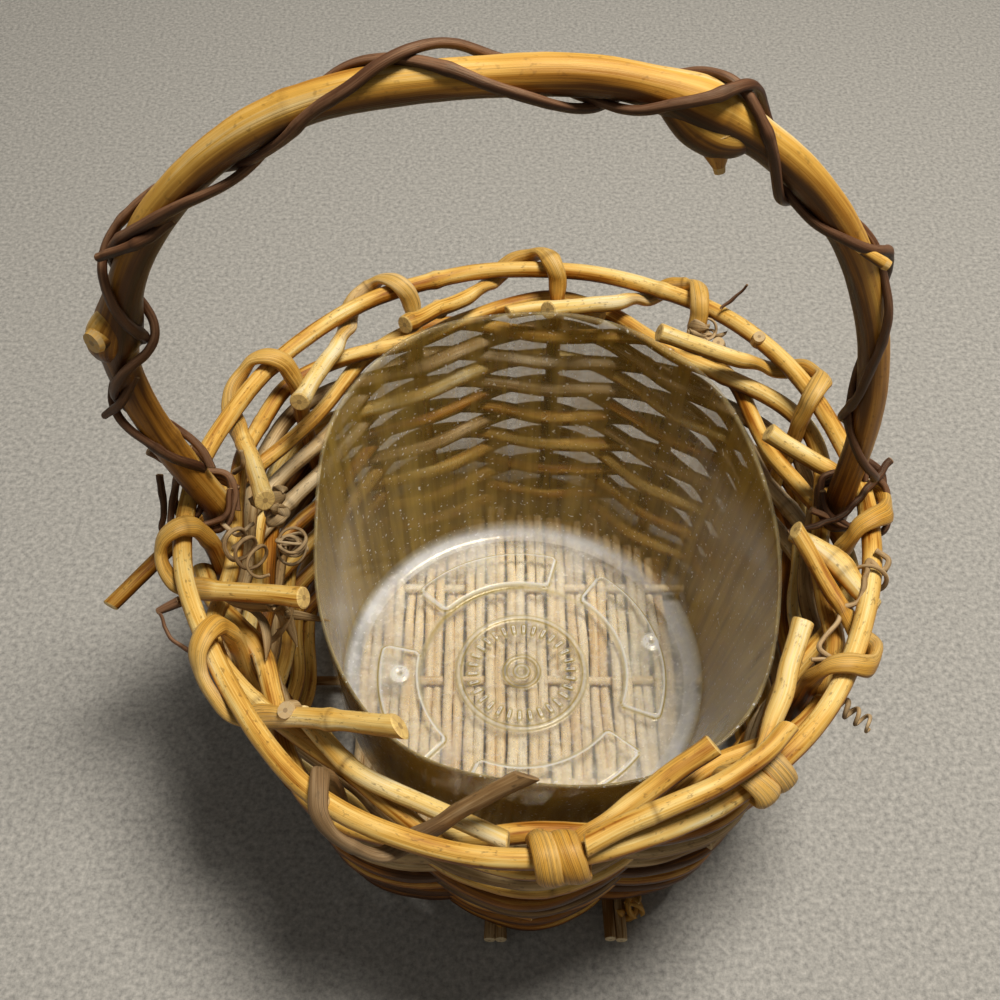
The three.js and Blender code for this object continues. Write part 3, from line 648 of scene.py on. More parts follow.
def rod_tree():
    """A rod along a path: ridged bark, lumps, crushed bends, slanted and bevelled cut ends."""
    tree, given, result = new_tree(
        "rod_along_path",
        "GeometryNodeTree",
        [
            ("Path", "Geometry"),
            ("Sides", "Int", 20),
            ("Ridge Depth", "Float", 0.05),
            ("Ridge Count", "Float", 3.0),
            ("Ridge Length", "Float", 0.03),
            ("Lump Depth", "Float", 0.08),
            ("Lump Size", "Float", 0.012),
            ("Crush", "Float", 2.5),
            ("Cut Bevel", "Float", 0.0003),
            ("Seed", "Float", 0.0),
            ("Bark", "Material"),
        ],
        [("Rod", "Geometry")],
    )
    position = tree.out("GeometryNodeInputPosition")
    along = tree.node("GeometryNodeSplineParameter").outputs["Length"]
    path = tree.out("GeometryNodeMeshToCurve", {"Mesh": given["Path"]})
    path = tree.stored(path, "along", along)
    path = tree.stored(path, "centre", position, "FLOAT_VECTOR")
    path = tree.stored(path, "heading", tree.out("GeometryNodeInputTangent"), "FLOAT_VECTOR")
    ring = tree.out("GeometryNodeCurvePrimitiveCircle", {"Resolution": given["Sides"], "Radius": 1.0})
    ring = tree.stored(ring, "rim", position, "FLOAT_VECTOR")
    tube = tree.out(
        "GeometryNodeCurveToMesh",
        {"Curve": path, "Profile Curve": ring, "Scale": tree.kept("rod_radius"), "Fill Caps": True},
    )

    centre = tree.kept("centre", "FLOAT_VECTOR")
    rim = tree.split(tree.kept("rim", "FLOAT_VECTOR"))
    flat = tree.kept("flat")
    flat_way = tree.kept("flat_way", "FLOAT_VECTOR")
    arm = tree.vectors("SUBTRACT", position, centre)
    across_flat = tree.vectors("SCALE", flat_way, tree.vectors("DOT_PRODUCT", arm, flat_way))
    beside_flat = tree.vectors("SUBTRACT", arm, across_flat)
    thinned = tree.vectors("SCALE", across_flat, tree.minus(1.0, flat))
    widened = tree.vectors("SCALE", beside_flat, tree.add(1.0, tree.times(flat, CRUSH_WIDENS)))
    crushed = tree.vectors("ADD", thinned, widened)
    seeds = tree.joined(given["Seed"], given["Seed"], given["Seed"])
    ridge_place = tree.joined(
        tree.over(tree.kept("along"), given["Ridge Length"]),
        tree.times(rim[0], given["Ridge Count"]),
        tree.times(rim[1], given["Ridge Count"]),
    )
    ridges = tree.noise(tree.vectors("ADD", ridge_place, seeds), 1.0, 3.0, 0.6)
    lumps = tree.noise(tree.vectors("ADD", position, seeds), tree.over(1.0, given["Lump Size"]), 2.0)
    crush_ridges = tree.add(1.0, tree.times(flat, given["Crush"]))
    ridge_depth = tree.times(tree.times(given["Ridge Depth"], crush_ridges), 2.0)
    ridge_share = tree.times(tree.minus(ridges, 0.5), ridge_depth)
    lump_share = tree.times(tree.minus(lumps, 0.5), tree.times(given["Lump Depth"], 2.0))
    swollen = tree.vectors("SCALE", crushed, tree.add(1.0, ridge_share, lump_share))
    slant = tree.times(tree.kept("slant"), rim[0])
    slanted = tree.vectors("SCALE", tree.kept("heading", "FLOAT_VECTOR"), slant)
    shaped = tree.vectors("ADD", tree.vectors("ADD", centre, swollen), slanted)
    # How far the bark faces up at each point, which the barks use for a painted shade on their undersides
    tube = tree.stored(tube, "top", tree.split(tree.vectors("NORMALIZE", arm, (0, 0, 0)))[2])
    tube = tree.out("GeometryNodeSetPosition", {"Geometry": tube, "Position": shaped})

    def inset(mesh, faces, offset, scale):
        """Raises faces and draws them in, and says which faces were raised."""
        inputs = {"Mesh": mesh, "Selection": faces, "Offset Scale": offset, "Individual": True}
        raised = tree.node("GeometryNodeExtrudeMesh", inputs, mode="FACES").outputs
        drawn_in = {"Geometry": raised["Mesh"], "Selection": raised["Top"], "Scale": scale}
        return tree.out("GeometryNodeScaleElements", drawn_in, domain="FACE"), raised["Top"]

    corners = tree.node("GeometryNodeInputMeshFaceNeighbors").outputs["Vertex Count"]
    is_cut = tree.out("FunctionNodeCompare", {2: corners, 3: 4}, data_type="INT", operation="GREATER_THAN")
    tube = tree.stored(tube, "cut", 1.0, domain="FACE", selection=is_cut)
    tube, cut_face = inset(tube, is_cut, given["Cut Bevel"], CUT_FACE)
    tube, pith = inset(tube, cut_face, 0.0, PITH)
    tube = tree.stored(tube, "pith", 1.0, domain="FACE", selection=pith)
    bark_only = tree.out("FunctionNodeCompare", {0: tree.kept("cut"), 1: 0.5}, operation="LESS_THAN")
    tube = tree.out("GeometryNodeSetShadeSmooth", {"Geometry": tube, "Shade Smooth": bark_only})
    for name in ("centre", "heading", "flat_way", "slant", "rod_radius"):
        tube = tree.out("GeometryNodeRemoveAttribute", {"Geometry": tube, "Name": name})
    tube = tree.out("GeometryNodeRealizeInstances", {"Geometry": tube})
    tube = tree.out("GeometryNodeSetMaterial", {"Geometry": tube, "Material": given["Bark"]})
    tree.feed(result, {"Rod": tube})
    return tree.tree


ROD_TREE = rod_tree()


# Rods

NODE_WIDTH = 1.8
WANDER_PARTS = (1, 0.6, 0.37)
# What a rod's mesh keeps at each point, and which of it are lengths
ROD_VALUES = ("rod_radius", "knot", "slant", "flat", "tint")
ROD_LENGTHS = ("rod_radius", "slant")


def draws(number):
    """A random source of its own for each rod or group of rods."""
    return np.random.default_rng(SEED + number)


def wandered(points, rng, amount, wave):
    """The line with a slow random wander of its own."""
    along = lengths_along(points)
    moved = points.copy()
    for axis in range(3):
        for part in WANDER_PARTS:
            phase = rng.uniform(0, 2 * math.pi)
            share = rng.uniform(0.5, 1) * part
            moved[:, axis] += amount * share * np.sin(2 * math.pi * along / (wave * part) + phase)
    return moved


def bark_nodes(along, rng, spacing, swell):
    """Radius and darkness that growth nodes add along a rod."""
    extra = np.zeros(len(along))
    mark = np.zeros(len(along))
    at = rng.uniform(0.2, 1) * spacing
    while at < along[-1]:
        extra += rng.uniform(0.3, 1) * swell * bump(along - at, NODE_WIDTH)
        ring = bump(along - at - 0.5 * NODE_WIDTH, 0.4 * NODE_WIDTH)
        mark = np.maximum(mark, rng.uniform(0.3, 0.95) * ring)
        at += rng.uniform(0.6, 1.6) * spacing
    return extra, mark


def rod(
    points, radius, rng, taper, spacing, swell, slants=(0, 0), flat=0.0, flat_way=(0.0, 0.0, 1.0), flare=0.0
):
    """One rod's line with what its tree needs at each point. Spacing and swell are its growth nodes'."""
    along = lengths_along(points)
    from_last = along[-1] - along
    extra, mark = bark_nodes(along, rng, spacing, swell)
    radii = radius * (1 + taper * (0.5 - along / along[-1])) + extra
    radii = radii * (1 + flare * bump(from_last, FLARE_LENGTH))
    slant = np.zeros(len(points))
    for sign, from_end, degrees in zip((-1, 1), (along, from_last), slants):
        slant += sign * math.tan(math.radians(degrees)) * radii * np.clip(1 - from_end / SLANT_LENGTH, 0, 1)
    return {
        "points": points,
        "rod_radius": radii,
        "knot": mark,
        "slant": slant,
        "flat": np.broadcast_to(flat, len(points)),
        "flat_way": np.broadcast_to(flat_way, (len(points), 3)),
        "tint": np.full(len(points), rng.uniform(0, 1)),
    }


def store(mesh, name, values):
    """Keeps a number or a vector at each point of a mesh."""
    values = np.asarray(values, np.float32)
    kind, field = ("FLOAT", "value") if values.ndim == 1 else ("FLOAT_VECTOR", "vector")
    mesh.attributes.new(name, kind, "POINT").data.foreach_set(field, values.ravel())


def rods_mesh(name, rods):
    """A mesh of the rods' lines alone, with their values at each point."""
    mesh = bpy.data.meshes.new(name)
    edges = []
    first = 0
    for one in rods:
        count = len(one["points"])
        edges += [(first + i, first + i + 1) for i in range(count - 1)]
        first += count

    def of_all(key):
        return np.concatenate([one[key] for one in rods])

    mesh.from_pydata((of_all("points") * MM).tolist(), edges, [])
    for key in ROD_VALUES:
        store(mesh, key, of_all(key) * (MM if key in ROD_LENGTHS else 1))
    store(mesh, "flat_way", of_all("flat_way"))
    return mesh


def shown(name, data):
    piece = bpy.data.objects.new(name, data)
    bpy.context.scene.collection.objects.link(piece)
    return piece


def grown(name, rods, material, slot, replaced=None, **sizes):
    """Grows bark on the rods, as one plain mesh that rides on the basket."""
    draft = shown(name + "_draft", rods_mesh(name, rods))
    modifier = draft.modifiers.new("grow", "NODES")
    modifier.node_group = ROD_TREE
    sockets = {item.name: item.identifier for item in ROD_TREE.interface.items_tree}
    for key, value in {"bark": material, **sizes}.items():
        modifier[sockets[key.replace("_", " ").title()]] = value
    bpy.context.view_layer.update()
    depsgraph = bpy.context.evaluated_depsgraph_get()
    mesh = bpy.data.meshes.new_from_object(
        draft.evaluated_get(depsgraph), preserve_all_data_layers=True, depsgraph=depsgraph
    )
    draft.modifiers.remove(modifier)
    line = draft.data
    bpy.data.objects.remove(draft)
    bpy.data.meshes.remove(line)
    mesh.name = name
    piece = shown(name, mesh)
    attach(piece, "basket")
    if replaced:
        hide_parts(replaced)


# Finishes

GRAIN_SIZES = ("Streak Length", "Streak Count", "Patch Length", "Fibre Count")
MARK_NAMES = ("Tint", "Knot", "Flat", "Cut", "Pith", "Top")


def grain_group():
    """Streaks, patches, fibres and dots that follow a rod."""
    tree, given, result = new_tree(
        "rod_grain",
        "ShaderNodeTree",
        [*((size, "Float") for size in GRAIN_SIZES), ("Dot Length", "Float", 0.0022)],
        [("Streak", "Float"), ("Patch", "Float"), ("Fibre", "Float"), ("Dot", "Float")],
    )
    along = tree.value("along")
    rim = tree.split(tree.value("rim", "Vector"))
    apart = tree.times(tree.value("tint"), 40.0)

    def noise(length, count, detail, roughness):
        lengthwise = tree.add(tree.over(along, length), apart)
        spot = tree.joined(lengthwise, tree.times(rim[0], count), tree.times(rim[1], count))
        return tree.noise(spot, 1.0, detail, roughness)

    tree.feed(result, {
        "Streak": noise(given["Streak Length"], given["Streak Count"], 4.0, 0.62),
        "Patch": noise(given["Patch Length"], 0.7, 3.0, 0.5),
        "Fibre": noise(given["Streak Length"], given["Fibre Count"], 3.0, 0.7),
        "Dot": noise(given["Dot Length"], 2.6, 2.0, 0.6),
    })
    return tree.tree


def marks_group():
    """What a rod's own values say: tint, growth nodes, crushed bends, cut ends, their pith, its upper side."""
    tree, _, result = new_tree("rod_marks", "ShaderNodeTree", [], [(name, "Float") for name in MARK_NAMES])
    tree.feed(result, {name: tree.value(name.lower()) for name in MARK_NAMES})
    return tree.tree


GRAIN = grain_group()
MARKS = marks_group()


def new_material(name):
    material = bpy.data.materials.new(name)
    material.use_nodes = True
    material.node_tree.nodes.clear()
    tree = Tree(material.node_tree)
    shader = tree.node("ShaderNodeBsdfPrincipled")
    tree.node("ShaderNodeOutputMaterial", {"Surface": shader.outputs[0]})
    return material, tree, shader


# A painted shade darkens the bark below the rim, from the first height down to the second, and more on the
# outside of the wall, whose radius at the floor and at the rim follows. These and the bark's depth are metres.
RIM_LIGHT = 0.100
WALL_SHADE = 0.055
WALL_RADII = (0.080, 0.097)
BARK_DEPTH = 0.0004
# How much a rod's patches and its own tint change its shade, and the shade that they change
PATCHY = 1.3
TINTED = 0.4
MIDDLE_SHADE = 0.66


def wood_material(
    name, stops, knot, crushed, cut, pith, grain, gloss=(0.34, 0.56), rough=0.4, under_shade=0.68, streaky=0.75,
    dotted=0.55, wall_shades=(0.24, 0.44), wall_shade_edge=(-0.003, 0.004),
):
    """Bark with streaks and patches, darker at growth nodes, painted shade on its underside and below the rim,
    crushed fibres and pale cut ends.
    """
    material, tree, shader = new_material(name)
    grown_in = tree.node("ShaderNodeGroup", dict(zip(GRAIN_SIZES, grain)), node_tree=GRAIN).outputs
    marks = tree.node("ShaderNodeGroup", node_tree=MARKS).outputs
    streak = grown_in["Streak"]
    fibre = grown_in["Fibre"]

    def varied(value, amount):
        return tree.times(tree.minus(value, 0.5), amount)

    # Patches, streaks and the rod's own tint
    shade = tree.add(varied(grown_in["Patch"], PATCHY), varied(streak, streaky))
    shade = tree.add(shade, tree.add(varied(marks["Tint"], TINTED), MIDDLE_SHADE))
    # A painted shade: darker on the underside, and below the rim, most on the outside of the wall
    spot = tree.spot()
    height = tree.split(spot)[2]
    from_axis = tree.vectors("DISTANCE", tree.vectors("MULTIPLY", spot, (1.0, 1.0, 0.0)), (0.0, 0.0, 0.0))
    outside = tree.minus(from_axis, tree.from_to(height, 0.0, HOOP_HEIGHT * MM, *WALL_RADII))
    painted_wall_shade = tree.from_to(outside, *wall_shade_edge, *wall_shades)
    painted_wall_shade = tree.times(painted_wall_shade, tree.from_to(height, RIM_LIGHT, WALL_SHADE))
    painted_shade = tree.minus(tree.times(tree.from_to(marks["Top"], 0.45, -0.75), -under_shade), painted_wall_shade)
    colour = tree.ramp(tree.add(shade, painted_shade), stops)
    # Fine fibres, dots, crushed bends and growth nodes
    colour = tree.mixed(tree.from_to(fibre, 0.30, 0.48, 0.35, 0.0), colour, knot)
    colour = tree.mixed(tree.from_to(grown_in["Dot"], 0.60, 0.72, 0.0, dotted), colour, knot)
    fibres = tree.mixed(tree.from_to(fibre, 0.36, 0.56), knot, crushed)
    colour = tree.mixed(tree.from_to(marks["Flat"], 0.06, 0.35, 0.0, 0.7), colour, fibres)
    colour = tree.mixed(tree.times(marks["Knot"], 0.6), colour, knot)
    # Cut ends and their pith
    end = tree.mixed(tree.from_to(streak, 0.35, 0.65), cut, stops[-2][1])
    end = tree.mixed(tree.times(marks["Pith"], 0.5), end, pith)
    relief = tree.add(streak, tree.times(fibre, 0.6))
    tree.feed(shader, {
        "Base Color": tree.mixed(marks["Cut"], colour, end),
        "Roughness": tree.from_to(streak, 0.3, 0.7, *gloss),
        "Specular IOR Level": 0.45,
        "Specular Tint": (1.0, 0.86, 0.62, 1),
        "Normal": tree.bumped(relief, rough, BARK_DEPTH),
    })
    return material


# Each bark has a ramp of colours from shade to light, then the colours of its marks and its grain's sizes
willow = wood_material(
    "willow_bark",
    [
        (0.0, (0.06, 0.014, 0.001)), (0.26, (0.36, 0.12, 0.006)), (0.5, (0.76, 0.43, 0.08)),
        (0.75, (0.92, 0.66, 0.23)), (1.0, (0.97, 0.84, 0.52)),
    ],
    knot=(0.10, 0.038, 0.010), crushed=(0.70, 0.36, 0.05), cut=(0.60, 0.38, 0.14), pith=(0.20, 0.10, 0.04),
    grain=(0.06, 4.5, 0.03, 15.0),
)
dry = wood_material(
    "dry_bark",
    [
        (0.0, (0.07, 0.028, 0.008)), (0.33, (0.32, 0.18, 0.062)), (0.58, (0.60, 0.41, 0.19)),
        (1.0, (0.85, 0.69, 0.44)),
    ],
    knot=(0.06, 0.03, 0.014), crushed=(0.42, 0.28, 0.13), cut=(0.60, 0.46, 0.27), pith=(0.16, 0.09, 0.05),
    grain=(0.05, 4.0, 0.025, 14.0), gloss=(0.45, 0.7), streaky=0.95,
)
weathered = wood_material(
    "weathered_bark",
    [
        (0.0, (0.05, 0.024, 0.010)), (0.4, (0.17, 0.088, 0.032)), (0.7, (0.31, 0.18, 0.072)),
        (1.0, (0.50, 0.35, 0.19)),
    ],
    knot=(0.03, 0.016, 0.009), crushed=(0.24, 0.15, 0.075), cut=(0.27, 0.17, 0.085), pith=(0.06, 0.03, 0.015),
    grain=(0.03, 3.5, 0.02, 13.0), gloss=(0.5, 0.75), streaky=1.1,
)
base_bark = wood_material(
    "base_rod_bark",
    [
        (0.0, (0.24, 0.11, 0.025)), (0.33, (0.78, 0.56, 0.29)), (0.62, (0.94, 0.77, 0.49)),
        (1.0, (0.98, 0.90, 0.70)),
    ],
    knot=(0.22, 0.13, 0.06), crushed=(0.68, 0.54, 0.32), cut=(0.70, 0.55, 0.33), pith=(0.24, 0.14, 0.07),
    grain=(0.05, 2.5, 0.03, 9.0), gloss=(0.45, 0.65), under_shade=0.3, wall_shades=(0.0, 0.55),
    wall_shade_edge=(-0.022, -0.008),
)
handle_bark = wood_material(
    "handle_bark",
    [
        (0.0, (0.022, 0.006, 0.001)), (0.28, (0.11, 0.033, 0.003)), (0.5, (0.46, 0.20, 0.024)),
        (0.74, (0.76, 0.43, 0.08)), (1.0, (0.95, 0.75, 0.37)),
    ],
    knot=(0.07, 0.024, 0.007), crushed=(0.60, 0.34, 0.08), cut=(0.70, 0.50, 0.24), pith=(0.22, 0.11, 0.04),
    grain=(0.09, 4.0, 0.06, 20.0), gloss=(0.30, 0.52), rough=0.45, under_shade=0.9, streaky=0.6, dotted=0.35,
)
vine_bark = wood_material(
    "dark_vine_bark",
    [
        (0.0, (0.012, 0.004, 0.003)), (0.35, (0.042, 0.015, 0.009)), (0.65, (0.13, 0.054, 0.024)),
        (1.0, (0.32, 0.17, 0.09)),
    ],
    knot=(0.018, 0.007, 0.005), crushed=(0.11, 0.042, 0.026), cut=(0.50, 0.33, 0.17), pith=(0.12, 0.06, 0.03),
    grain=(0.03, 2.6, 0.03, 10.0), gloss=(0.32, 0.58), rough=0.5,
)
tendril_bark = wood_material(
    "tendril_bark",
    [
        (0.0, (0.08, 0.04, 0.018)), (0.4, (0.30, 0.18, 0.08)), (0.7, (0.50, 0.34, 0.17)),
        (1.0, (0.72, 0.55, 0.33)),
    ],
    knot=(0.06, 0.03, 0.015), crushed=(0.40, 0.29, 0.17), cut=(0.50, 0.36, 0.2), pith=(0.12, 0.07, 0.04),
    grain=(0.02, 2.6, 0.015, 10.0), gloss=(0.5, 0.75),
)


# Basket

def add_hoop():
    rng = draws(0)
    gap = math.degrees(HOOP_JOINT_GAP / HOOP_RADIUS)
    degrees = np.linspace(HOOP_JOINT_ANGLE, HOOP_JOINT_ANGLE + 360 - gap, HOOP_POINTS)
    line = wandered(smooth([beside_hoop(0, angle, 0) for angle in degrees]), rng, amount=0.5, wave=120)
    hoop = rod(line, HOOP_SHARE * HOOP_ROD, rng, taper=0.06, spacing=90, swell=0.5, slants=(25, 35))
    grown(
        "rim_hoop_rod", [hoop], willow, "willow_rod", "rim_hoop",
        sides=28, ridge_depth=0.03, lump_depth=0.06, seed=3.0,
    )


def add_stakes():
    for i, (angle, run, end, inset, rise, slant) in enumerate(STAKES):
        rng = draws(100 + i)
        coiled = i in COILED
        dull = i in DULL_STAKES
        narrow = i in NARROW_STUBS
        path = stake_path(angle, COILED.get(i, run), end, inset, rise, coiled)
        line = wandered(smooth(path, 1.0), rng, amount=0.25, wave=40)
        on_hoop = np.array([beside_hoop(0, angle_of(point), 0) for point in line])
        distance = np.linalg.norm(line - on_hoop, axis=1)
        ways = (line - on_hoop) / distance[:, None]
        near = np.clip(1 - (distance - WRAP_RADIUS - CRUSH_SLACK) / CRUSH_REACH, 0, 1)
        flat = (CRUSHED_TWICE if coiled else CRUSHED_ONCE) * eased(near)
        line = line - ways * (flat * STAKE_ROD * CRUSH_SINK)[:, None]
        stake = rod(
            line, (DULL_SHARE if dull else STAKE_SHARE) * STAKE_ROD, rng, taper=0.2 if narrow else -0.12,
            spacing=80, swell=0.5, slants=(0, slant), flat=flat, flat_way=ways, flare=0.0 if narrow else 0.1,
        )
        grown(
            f"stake_rod_{i + 1:02d}", [stake], weathered if dull else willow, "willow_rod",
            f"stake_{i + 1:02d}", sides=24, ridge_depth=0.035, lump_depth=0.08, seed=11.0 + 7 * i,
        )


def add_weavers():
    for row in range(ROW_COUNT):
        rng = draws(200 + row)
        line = wandered(smooth(weaver_path(row), 1.5), rng, amount=0.45, wave=90)
        weaver = rod(line, WEAVER_ROD, rng, taper=0.2, spacing=85, swell=0.45, slants=(15, 15))
        grown(
            f"weaver_rod_{row + 1:02d}", [weaver], dry if row in DRY_ROWS else willow, "willow_rod",
            f"weaver_{row + 1:02d}", sides=18, ridge_depth=0.04, lump_depth=0.09, seed=130.0 + 5 * row,
        )


def add_base():
    for i in range(CROSS_STICK_COUNT):
        rng = draws(300 + i)
        y = cross_stick_place(i)
        half = math.sqrt(BASE_RADIUS ** 2 - y ** 2)
        line = wandered(smooth([(x, y, BASE_MIDDLE) for x in (-half, 0, half)]), rng, amount=0.2, wave=50)
        grown(
            f"base_cross_stick_rod_{i + 1:02d}",
            [rod(line, CROSS_STICK_ROD, rng, taper=0.1, spacing=40, swell=0.2)], base_bark, "base_rod",
            f"base_cross_stick_{i + 1:02d}", sides=14, lump_depth=0.08, seed=310.0 + i,
        )
    for i, path in enumerate(base_pair_paths()):
        rng = draws(340 + i)
        both = []
        for side in (-1, 1):
            line = wandered(smooth(path + (side * PAIR_ROD, 0, 0)), rng, amount=0.22, wave=60)
            line[:, 2] = np.maximum(line[:, 2], PAIR_REST * PAIR_ROD)
            both.append(rod(line, PAIR_ROD, rng, taper=0.1, spacing=60, swell=0.15))
        grown(
            f"base_pair_rods_{i + 1:02d}", both, base_bark, "base_rod", f"base_pair_{i + 1:02d}",
            sides=14, lump_depth=0.08, seed=350.0 + 3 * i,
        )


def add_border_rods():
    for i, (name, path) in enumerate(border_paths().items()):
        rng = draws(400 + i)
        line = wandered(smooth(path), rng, amount=0.2, wave=50)
        border = rod(line, BORDER_ROD, rng, taper=0.1, spacing=70, swell=0.3, slants=(20, 20))
        grown(
            f"border_rod_{name}_bark", [border], willow, "willow_rod", f"border_rod_{name}",
            sides=22, lump_depth=0.08, seed=410.0 + 9 * i,
        )


def add_handle():
    rng = draws(500)
    arch = ARCH[::4]
    radii = [handle_radius(share) for share in np.linspace(0, 1, len(arch))]
    depth = np.arange(HOOP_HEIGHT - ON_TOP_ROW, 0, -1.0)
    down = [arch[0] - (0, 0, z) for z in depth]
    up = [arch[-1] - (0, 0, z) for z in depth[::-1]]
    line = wandered(np.vstack([down, arch, up]), rng, amount=0.45, wave=150)
    foot = np.full(len(depth), HANDLE_ROD)
    radii = np.concatenate([foot, radii, foot])
    vine = rod(line, radii, rng, taper=0.14, spacing=110, swell=0.4, slants=(25, 35))
    grown(
        "handle_vine_bark", [vine], handle_bark, "handle_vine", "handle_vine", sides=40, ridge_depth=0.04,
        ridge_count=2.2, ridge_length=0.09, lump_depth=0.1, lump_size=0.02, cut_bevel=0.0006, seed=505.0,
    )


def add_vines():
    for i, (name, sense, over) in enumerate((("left_hand", -1, False), ("right_hand", 1, True))):
        rng = draws(600 + i)
        line = wandered(smooth(vine_path(sense, over), 1.0), rng, amount=0.35, wave=45)
        nearest = [ARCH[np.argmin(np.sum((ARCH - point) ** 2, axis=1))] for point in line]
        ways = np.array([unit(away) for away in line - nearest])
        vine = rod(
            line, VINE_SHARE * VINE_ROD, rng, taper=0.2, spacing=38, swell=0.4, slants=(30, 30),
            flat=VINE_FLAT, flat_way=ways,
        )
        grown(
            f"binding_vine_{name}_bark", [vine], vine_bark, "dark_vine", f"binding_vine_{name}",
            sides=16, ridge_depth=0.05, lump_depth=0.14, lump_size=0.008, seed=611.0 + 13 * i,
        )


def add_lashings():
    inside = STAKE_ROD * 2 + CLEARANCE + WRAP_SLACK
    left, right = (
        math.degrees(math.asin(HANDLE_Y / (hoop_radius(side) - HANDLE_FOOT_INSET))) for side in (180, 0)
    )
    paths = {
        "left": lashing_path(180 - left, 0, -1),
        "right": lashing_path(right, LASHING_RIGHT_SHARE * inside, 1),
    }
    for i, (name, path) in enumerate(paths.items()):
        rng = draws(700 + i)
        line = wandered(smooth(path, 0.8), rng, amount=0.35, wave=22)
        radius = LASHING_SHARE * LASHING_ROD
        lashing = rod(line, radius, rng, taper=0.3, spacing=22, swell=0.3, slants=(20, 20))
        grown(
            f"lashing_{name}_bark", [lashing], vine_bark, "dark_vine", f"lashing_{name}",
            sides=14, ridge_depth=0.05, lump_depth=0.14, lump_size=0.008, seed=711.0 + 13 * i,
        )


def add_tendrils():
    for i, (name, path) in enumerate(tendril_paths().items()):
        rng = draws(800 + i)
        line = wandered(smooth(path, 0.6), rng, amount=0.15, wave=15)
        tendril = rod(line, TENDRIL_SHARE * TENDRIL_ROD, rng, taper=0.5, spacing=12, swell=0.15)
        grown(
            f"tendril_{name}_bark", [tendril], tendril_bark, "dark_vine", f"tendril_{name}",
            sides=10, lump_depth=0.16, lump_size=0.004, seed=811.0 + 3 * i,
        )


# Trim that the solids leave out. Points are where it lies on the basket.

# Scars of cut side branches on and beside the hoop: angle, inset from the hoop's middle, height, radius
HOOP_SCARS = (
    (42, 0, 107, 2.9), (240.8, 0, 107, 2.9), (107.9, 13.5, 105.5, 3.0), (48.8, 5.0, 99, 2.7),
    (226.3, 10.2, 105, 3.2),
)
# The thick part of a stub where a side branch was cut off, and its radii at shares of its length
SHOULDER = ((77.5, -8.8, 106.4), (83, -13.5, 107.2), (88.5, -19.5, 107.2), (93, -27, 106.2), (97, -34, 106))
SHOULDER_SHARES = (0, 0.3, 0.48, 0.65, 1)
SHOULDER_RADII = (2.3, 2.9, 3.7, 3.2, 2.3)
# Flakes of bark, inside the basket and on the long base rods: middle, spread, count, radius, length, flatness
LOOSE_BARK = (
    ((-75.5, 6.7, 100), 1.8, 9, 2.0, 10, 0.55),
    ((61, 78, 101.5), 2.4, 9, 1.5, 8, 0.5),
    ((-72, -30, 98), 2.6, 7, 1.2, 20, 0.5),
)
FRAYED_ENDS = (
    ((-6.5, -85, 7), 2.2, 7, 1.5, 10, 0.45),
    ((34, -81.5, 8), 2.2, 7, 1.5, 10, 0.45),
)
FLAKE_POINTS = 10
SPUR_STEP = 0.8
SWELLING_POINTS = 31
SWELLING_ENDS = 0.45
SWELLING_ROUND = 1.2
# Each turn of a loose ball leans, swings to a side and reaches out by a slow wave: amount, pace
BALL_WAVES = ((0.9, 0.31), (0.6, 0.23), (0.28, 0.41))
BALL_SHARE = 0.72
BALL_STEPS_PER_TURN = 30
# Dry curls, with a loose ball of one before each group: radius, wander, points
LEFT_CURLS = (
    (0.7, 0.25, ((-92, 1, 104), (-89, -3, 103.5), (-85, -6.5, 103), (-80.5, -3, 104))),
    (0.7, 0.25, ((-88, 13, 108), (-84.5, 12.5, 112), (-84, 14, 117))),
)
RIGHT_CURLS = (
    (0.75, 0.25, (
        (98.9, -17.9, 111.5), (102.2, -20.7, 110.5), (100, -23.5, 109), (96.8, -20.5, 110), (95, -25.5, 110),
        (92, -32.5, 107.5), (88.1, -33.2, 105), (86.3, -37.5, 104), (81.6, -42, 104), (80, -46.2, 103.5),
        (83, -48.4, 103), (78, -47.8, 102),
    )),
    (0.9, 0.5, ((27, -96.5, 106.5), (37, -92.5, 107.5), (44, -90, 105.5), (51, -87, 106))),
)
# Loose strands of vine by the handle's feet, then on the rim's back and on the handle: radius, wander, points
FOOT_STRANDS = (
    (1.0, 0.25, ((108, 12, 115), (101, 5, 111), (92.5, -2.4, 107), (77, -6, 103.5))),
    (0.9, 0.25, ((84, -1.5, 108.5), (92, -3.2, 105), (99, -4, 102.5), (104, -3, 99))),
    (1.1, 0.25, ((-109, 8, 124), (-101, 9, 115), (-91.5, 10.5, 109.5), (-86, 8, 107))),
    (1.1, 0.25, ((-99, 14, 119), (-93.5, 11, 111), (-97, 0, 106), (-104.5, -3, 101))),
    (1.0, 0.25, ((-108.5, 9, 112), (-107.5, 2, 107), (-108, -3, 100), (-104, -4, 95))),
    (0.6, 0.25, ((-92, -45, 98), (-100, -39, 99), (-104, -32.5, 101))),
)
HIGH_STRANDS = (
    (0.5, 0.25, ((66, 80.5, 112), (70, 83, 114.5), (74, 84, 119))),
    (1.3, 0.1, ((-82, 1.5, 213), (-88, -1.8, 210), (-94.5, -1.4, 206.5), (-101, -0.5, 203.5))),
    (1.25, 0.1, ((-103, 2.5, 161), (-107, -1.2, 155.5), (-113.5, -0.3, 148.5))),
)


def spur(start, way, length, root, tip, rng):
    """A short side shoot, from its root's radius to its tip's."""
    shares = np.linspace(0, 1, max(6, int(length / SPUR_STEP)))
    line = np.array(start) + np.outer(shares * length, unit(np.array(way, float)))
    return rod(line, lerp(root, tip, shares), rng, taper=0.0, spacing=30, swell=0.15)


